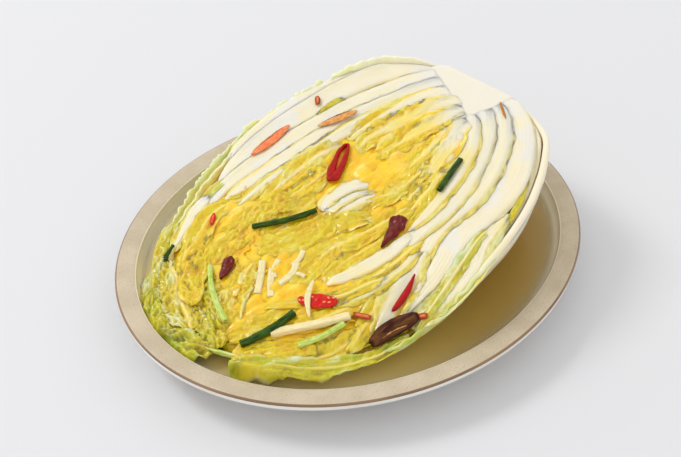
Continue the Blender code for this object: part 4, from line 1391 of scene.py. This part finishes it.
def build_jujubes(cover, colours):
    """Half-moon slices with their skin, a whole end with a seam of flesh, and small torn bits."""
    skin = cut_material("jujube", (colours.jujube, "#70341A", colours.jujube_flesh), 0.3)
    rosy = cut_material("rosy_jujube", ("#8E3210", "#AE5222", "#EA9A6C"), 0.3)
    dark = cut_material("dark_jujube", ("#340C04", "#481608", "#6A4018"), 0.26, (0.08, 0.35))
    tan = cut_material("jujube_flesh", ("#A8743C", "#C89858"), 0.4)
    lay_cuts(cover, (
        ("jujube_slice_a_piece", (54, 64), (28, 73), 9.5, 1.6, 11,
         dict(arch=0.8, bow=1, taper=(0.6, 0.7), rim=0.6, flat=0.4), skin, "jujube", "jujube_slice_a"),
        ("jujube_slice_b_piece", (15, 90), (-19, 87), 10.5, 1.4, 12,
         dict(bow=1.5, taper=(0.6, 0.6), rim=0.5, flat=0.5), rosy, "jujube", "jujube_slice_b"),
        ("jujube_slice_c_piece", (-25, -98), (-57, -93), 10.5, 3.0, 13,
         dict(arch=1.6, bow=-2, rough=0.25, taper=(0.3, 0.35), rim=0.3), dark, "jujube", "jujube_slice_c"),
    ))
    count = 40
    path = strip_path(cover, (-33, -99), (-51, -95.5), count, 4.6, -1.5)
    full = np.sqrt(np.clip(1 - np.linspace(-1, 1, count) ** 2, 0.02, 1))
    seam = tube("jujube_seam", path, 0.9 * full, 0.5 * full, rough=0.3, seed=15)
    finish_piece(seam, tan, "jujube")
    bit = {"taper": (0.15, 0.15)}
    lay_cuts(cover, (
        ("jujube_bit_a_piece", (45, 97), (41, 91), 3.5, 1.4, 19.5, bit, rosy, "jujube", "jujube_bit_a"),
        ("jujube_bit_b_piece", (-20, -102), (-26, -97), 4, 1.4, 20, bit, rosy, "jujube", "jujube_bit_b"),
        ("pear_skin_piece", (-54, -71), (-47, -80), 3.2, 1.4, 19.2, bit, rosy, "pear"),
    ))


def build_strips(cover, colours):
    """Square-cut sticks of pear and radish, one of them pointed, and a few short shreds."""
    pear = cut_material("pear_flesh", (colours.pear, "#F0E2B4", "#F2E8C0"), 0.36)
    radish = cut_material("radish_flesh", (colours.radish, "#EEE2B4"), 0.3)
    count = 32
    pointed = np.sin(np.pi * np.linspace(0.06, 0.94, count)) ** 0.8 * 1.3
    sticks = (
        ("pear_stick", (-56, -70), (-101, -48), 1.5, 2.6, 1, 2.0, -0.5, 0.6, pear, "pear"),
        ("radish_stick_a", (-57, -34), (-77, -56), -2.5, 1.5, pointed, 0.7, 2.0, 1.2, radish, "radish"),
        ("radish_stick_b", (-70, 4), (-88, -15), 0.5, 2.3, 1, 1.6, -0.9, 0.5, radish, "radish"),
        ("radish_stick_c", (-69, -5), (-83, -23), -0.5, 2.2, 1, 1.5, -1.1, 0.3, radish, "radish"),
    )
    for name, start, end, bow, wide, taper, high, lift, arch, finish, slot in sticks:
        path = strip_path(cover, start, end, count, high * 0.7 + lift, bow, arch)
        piece = tube(f"{name}_piece", path, wide * taper, high, rough=0.1, square=5, seed=wide)
        finish_piece(piece, finish, slot, name)
    shreds = (
        ((-55, -13), (-73, -18), 3.0, 2.4, 1.4),
        ((-60, -2), (-72, -12), -2.0, 1.8, 1.2),
        ((-63, -18), (-58, -26), 1.0, 1.5, 1.0),
        ((-46, -8), (-58, -12), 1.5, 1.8, 1.2),
    )
    pieces = []
    for i, (start, end, bow, wide, high) in enumerate(shreds):
        path = strip_path(cover, start, end, 26, high * 0.6 - 0.9, bow, 0.6)
        pieces.append(tube(f"strip_{i}", path, wide, high, rough=0.15, square=4, seed=20 + i))
    finish_piece(join("radish_shreds", pieces), radish, "radish")


# Stage

WINDOW_PLACE, WINDOW_SIZE = Vector((-1.7, 2.4, 3.3)), 1.3
# Where the camera aims, in mm to the right of the plate's centre and over its rim
AIM_RIGHT, AIM_UP = -7.4, 7.5


def build_stage(stage):
    """A pale floor, soft even light, and a window behind and to the left."""
    bpy.ops.mesh.primitive_plane_add(size=8, location=(0, 0, 0))
    floor = bpy.context.object
    floor.name = "floor"
    material, _, shader = new_material("pale_floor")
    connect(material.node_tree, shader, {"Base Color": stage.floor, "Roughness": 0.9})
    floor.data.materials.append(material)
    scene = bpy.context.scene
    scene.view_settings.view_transform = "Standard"
    world = bpy.data.worlds.new("soft_room")
    world.use_nodes = True
    background = world.node_tree.nodes["Background"]
    connect(world.node_tree, background, {"Color": (1.0, 1.0, 1.0, 1.0), "Strength": stage.room})
    scene.world = world
    light = bpy.data.lights.new("window", "AREA")
    light.size = WINDOW_SIZE
    light.energy = stage.key
    lamp = bpy.data.objects.new("window", light)
    lamp.location = WINDOW_PLACE
    lamp.rotation_euler = (Vector((0, 0, 0.03)) - WINDOW_PLACE).to_track_quat("-Z", "Y").to_euler()
    scene.collection.objects.link(lamp)


def build_camera(stage, height):
    """A camera that looks down at a height over the plate's centre."""
    flat = Vector((math.sin(stage.turn), math.cos(stage.turn), 0))
    right = Vector((math.cos(stage.turn), -math.sin(stage.turn), 0))
    back = Vector((0, 0, math.sin(stage.rise))) - flat * math.cos(stage.rise)
    up = right.cross(-back)
    centre = Vector((0, 0, height))
    camera = bpy.data.objects.new("camera", bpy.data.cameras.new("camera"))
    camera.location = centre + back * stage.distance
    aim = centre + right * AIM_RIGHT * MM + up * AIM_UP * MM
    camera.rotation_euler = (aim - camera.location).to_track_quat("-Z", "Y").to_euler()
    camera.data.angle = stage.field
    bpy.context.scene.collection.objects.link(camera)
    bpy.context.scene.camera = camera


# Operators, panel and registration


def laid_cover():
    """The height of the laid leaves, which the toppings rest on."""
    if Cover.latest is None:
        raise RuntimeError("Lay the leaves before the toppings")
    return Cover.latest


class KIMCHI_OT_stage(bpy.types.Operator):
    """Add the pale floor, the soft light and the camera"""

    bl_idname = "kimchi.stage"
    bl_label = "Stage"

    def execute(self, context):
        build_stage(context.scene.kimchi_stage)
        build_camera(context.scene.kimchi_stage, context.scene.kimchi_plate.height)
        return {"FINISHED"}


class KIMCHI_OT_plate(bpy.types.Operator):
    """Add the oval stoneware plate"""

    bl_idname = "kimchi.plate"
    bl_label = "Plate"

    def execute(self, context):
        build_plate(context.scene.kimchi_plate)
        return {"FINISHED"}


class KIMCHI_OT_broth(bpy.types.Operator):
    """Add the broth in the plate's well"""

    bl_idname = "kimchi.broth"
    bl_label = "Broth"

    def execute(self, context):
        build_broth(context.scene.kimchi_plate, context.scene.kimchi_broth)
        return {"FINISHED"}


class KIMCHI_OT_core(bpy.types.Operator):
    """Add the trimmed stem core"""

    bl_idname = "kimchi.core"
    bl_label = "Core"

    def execute(self, context):
        build_core(context.scene.kimchi_leaf)
        return {"FINISHED"}


class KIMCHI_OT_packed_leaves(bpy.types.Operator):
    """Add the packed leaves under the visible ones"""

    bl_idname = "kimchi.packed_leaves"
    bl_label = "Packed leaves"

    def execute(self, context):
        build_packed(context.scene.kimchi_leaf)
        return {"FINISHED"}


class KIMCHI_OT_standing_leaves(bpy.types.Operator):
    """Add the cut leaves that stand around the heart, layer by layer"""

    bl_idname = "kimchi.standing_leaves"
    bl_label = "Standing leaves"

    def execute(self, context):
        for layer in range(LAYERS):
            for side in ("left", "right"):
                build_leaf(context.scene.kimchi_leaf, layer, side)
        return {"FINISHED"}


class KIMCHI_OT_laid_leaves(bpy.types.Operator):
    """Lay the wilted ribs and blades over the cut face"""

    bl_idname = "kimchi.laid_leaves"
    bl_label = "Laid leaves"

    def execute(self, context):
        build_laid(context.scene.kimchi_leaf, context.scene.kimchi_broth.level)
        return {"FINISHED"}


class KIMCHI_OT_scallions(bpy.types.Operator):
    """Add the scallion and stem pieces"""

    bl_idname = "kimchi.scallions"
    bl_label = "Scallions"

    def execute(self, context):
        build_scallions(laid_cover(), context.scene.kimchi_topping)
        return {"FINISHED"}


class KIMCHI_OT_chillies(bpy.types.Operator):
    """Add the red chilli pieces"""

    bl_idname = "kimchi.chillies"
    bl_label = "Chillies"

    def execute(self, context):
        build_chillies(laid_cover(), context.scene.kimchi_topping)
        return {"FINISHED"}


class KIMCHI_OT_jujubes(bpy.types.Operator):
    """Add the jujube slices"""

    bl_idname = "kimchi.jujubes"
    bl_label = "Jujubes"

    def execute(self, context):
        build_jujubes(laid_cover(), context.scene.kimchi_topping)
        return {"FINISHED"}


class KIMCHI_OT_strips(bpy.types.Operator):
    """Add the pear and radish strips"""

    bl_idname = "kimchi.strips"
    bl_label = "Pear and radish"

    def execute(self, context):
        build_strips(laid_cover(), context.scene.kimchi_topping)
        return {"FINISHED"}


OPERATORS = (
    KIMCHI_OT_stage,
    KIMCHI_OT_plate,
    KIMCHI_OT_broth,
    KIMCHI_OT_core,
    KIMCHI_OT_packed_leaves,
    KIMCHI_OT_standing_leaves,
    KIMCHI_OT_laid_leaves,
    KIMCHI_OT_scallions,
    KIMCHI_OT_chillies,
    KIMCHI_OT_jujubes,
    KIMCHI_OT_strips,
)
SETTINGS = {
    "kimchi_plate": PlateSettings,
    "kimchi_broth": BrothSettings,
    "kimchi_leaf": LeafSettings,
    "kimchi_topping": ToppingSettings,
    "kimchi_stage": StageSettings,
}


class KIMCHI_PT_panel(bpy.types.Panel):
    """Sizes, colours and pieces of the kimchi"""

    bl_idname = "KIMCHI_PT_panel"
    bl_label = "White Kimchi"
    bl_space_type = "VIEW_3D"
    bl_region_type = "UI"
    bl_category = "Kimchi"

    def draw(self, context):
        for operator in OPERATORS:
            self.layout.operator(operator.bl_idname)
        for name in SETTINGS:
            box = self.layout.box()
            group = getattr(context.scene, name)
            for value in group.bl_rna.properties.keys()[2:]:
                box.prop(group, value)


def register():
    for group in (*SETTINGS.values(), *OPERATORS, KIMCHI_PT_panel):
        bpy.utils.register_class(group)
    for name, group in SETTINGS.items():
        setattr(bpy.types.Scene, name, bpy.props.PointerProperty(type=group))


def unregister():
    for name in SETTINGS:
        delattr(bpy.types.Scene, name)
    for group in (KIMCHI_PT_panel, *reversed(OPERATORS), *reversed(SETTINGS.values())):
        bpy.utils.unregister_class(group)


def main():
    register()
    for operator in OPERATORS:
        family, name = operator.bl_idname.split(".")
        getattr(getattr(bpy.ops, family), name)()
    bpy.context.view_layer.update()


if __name__ == "__main__":
    main()
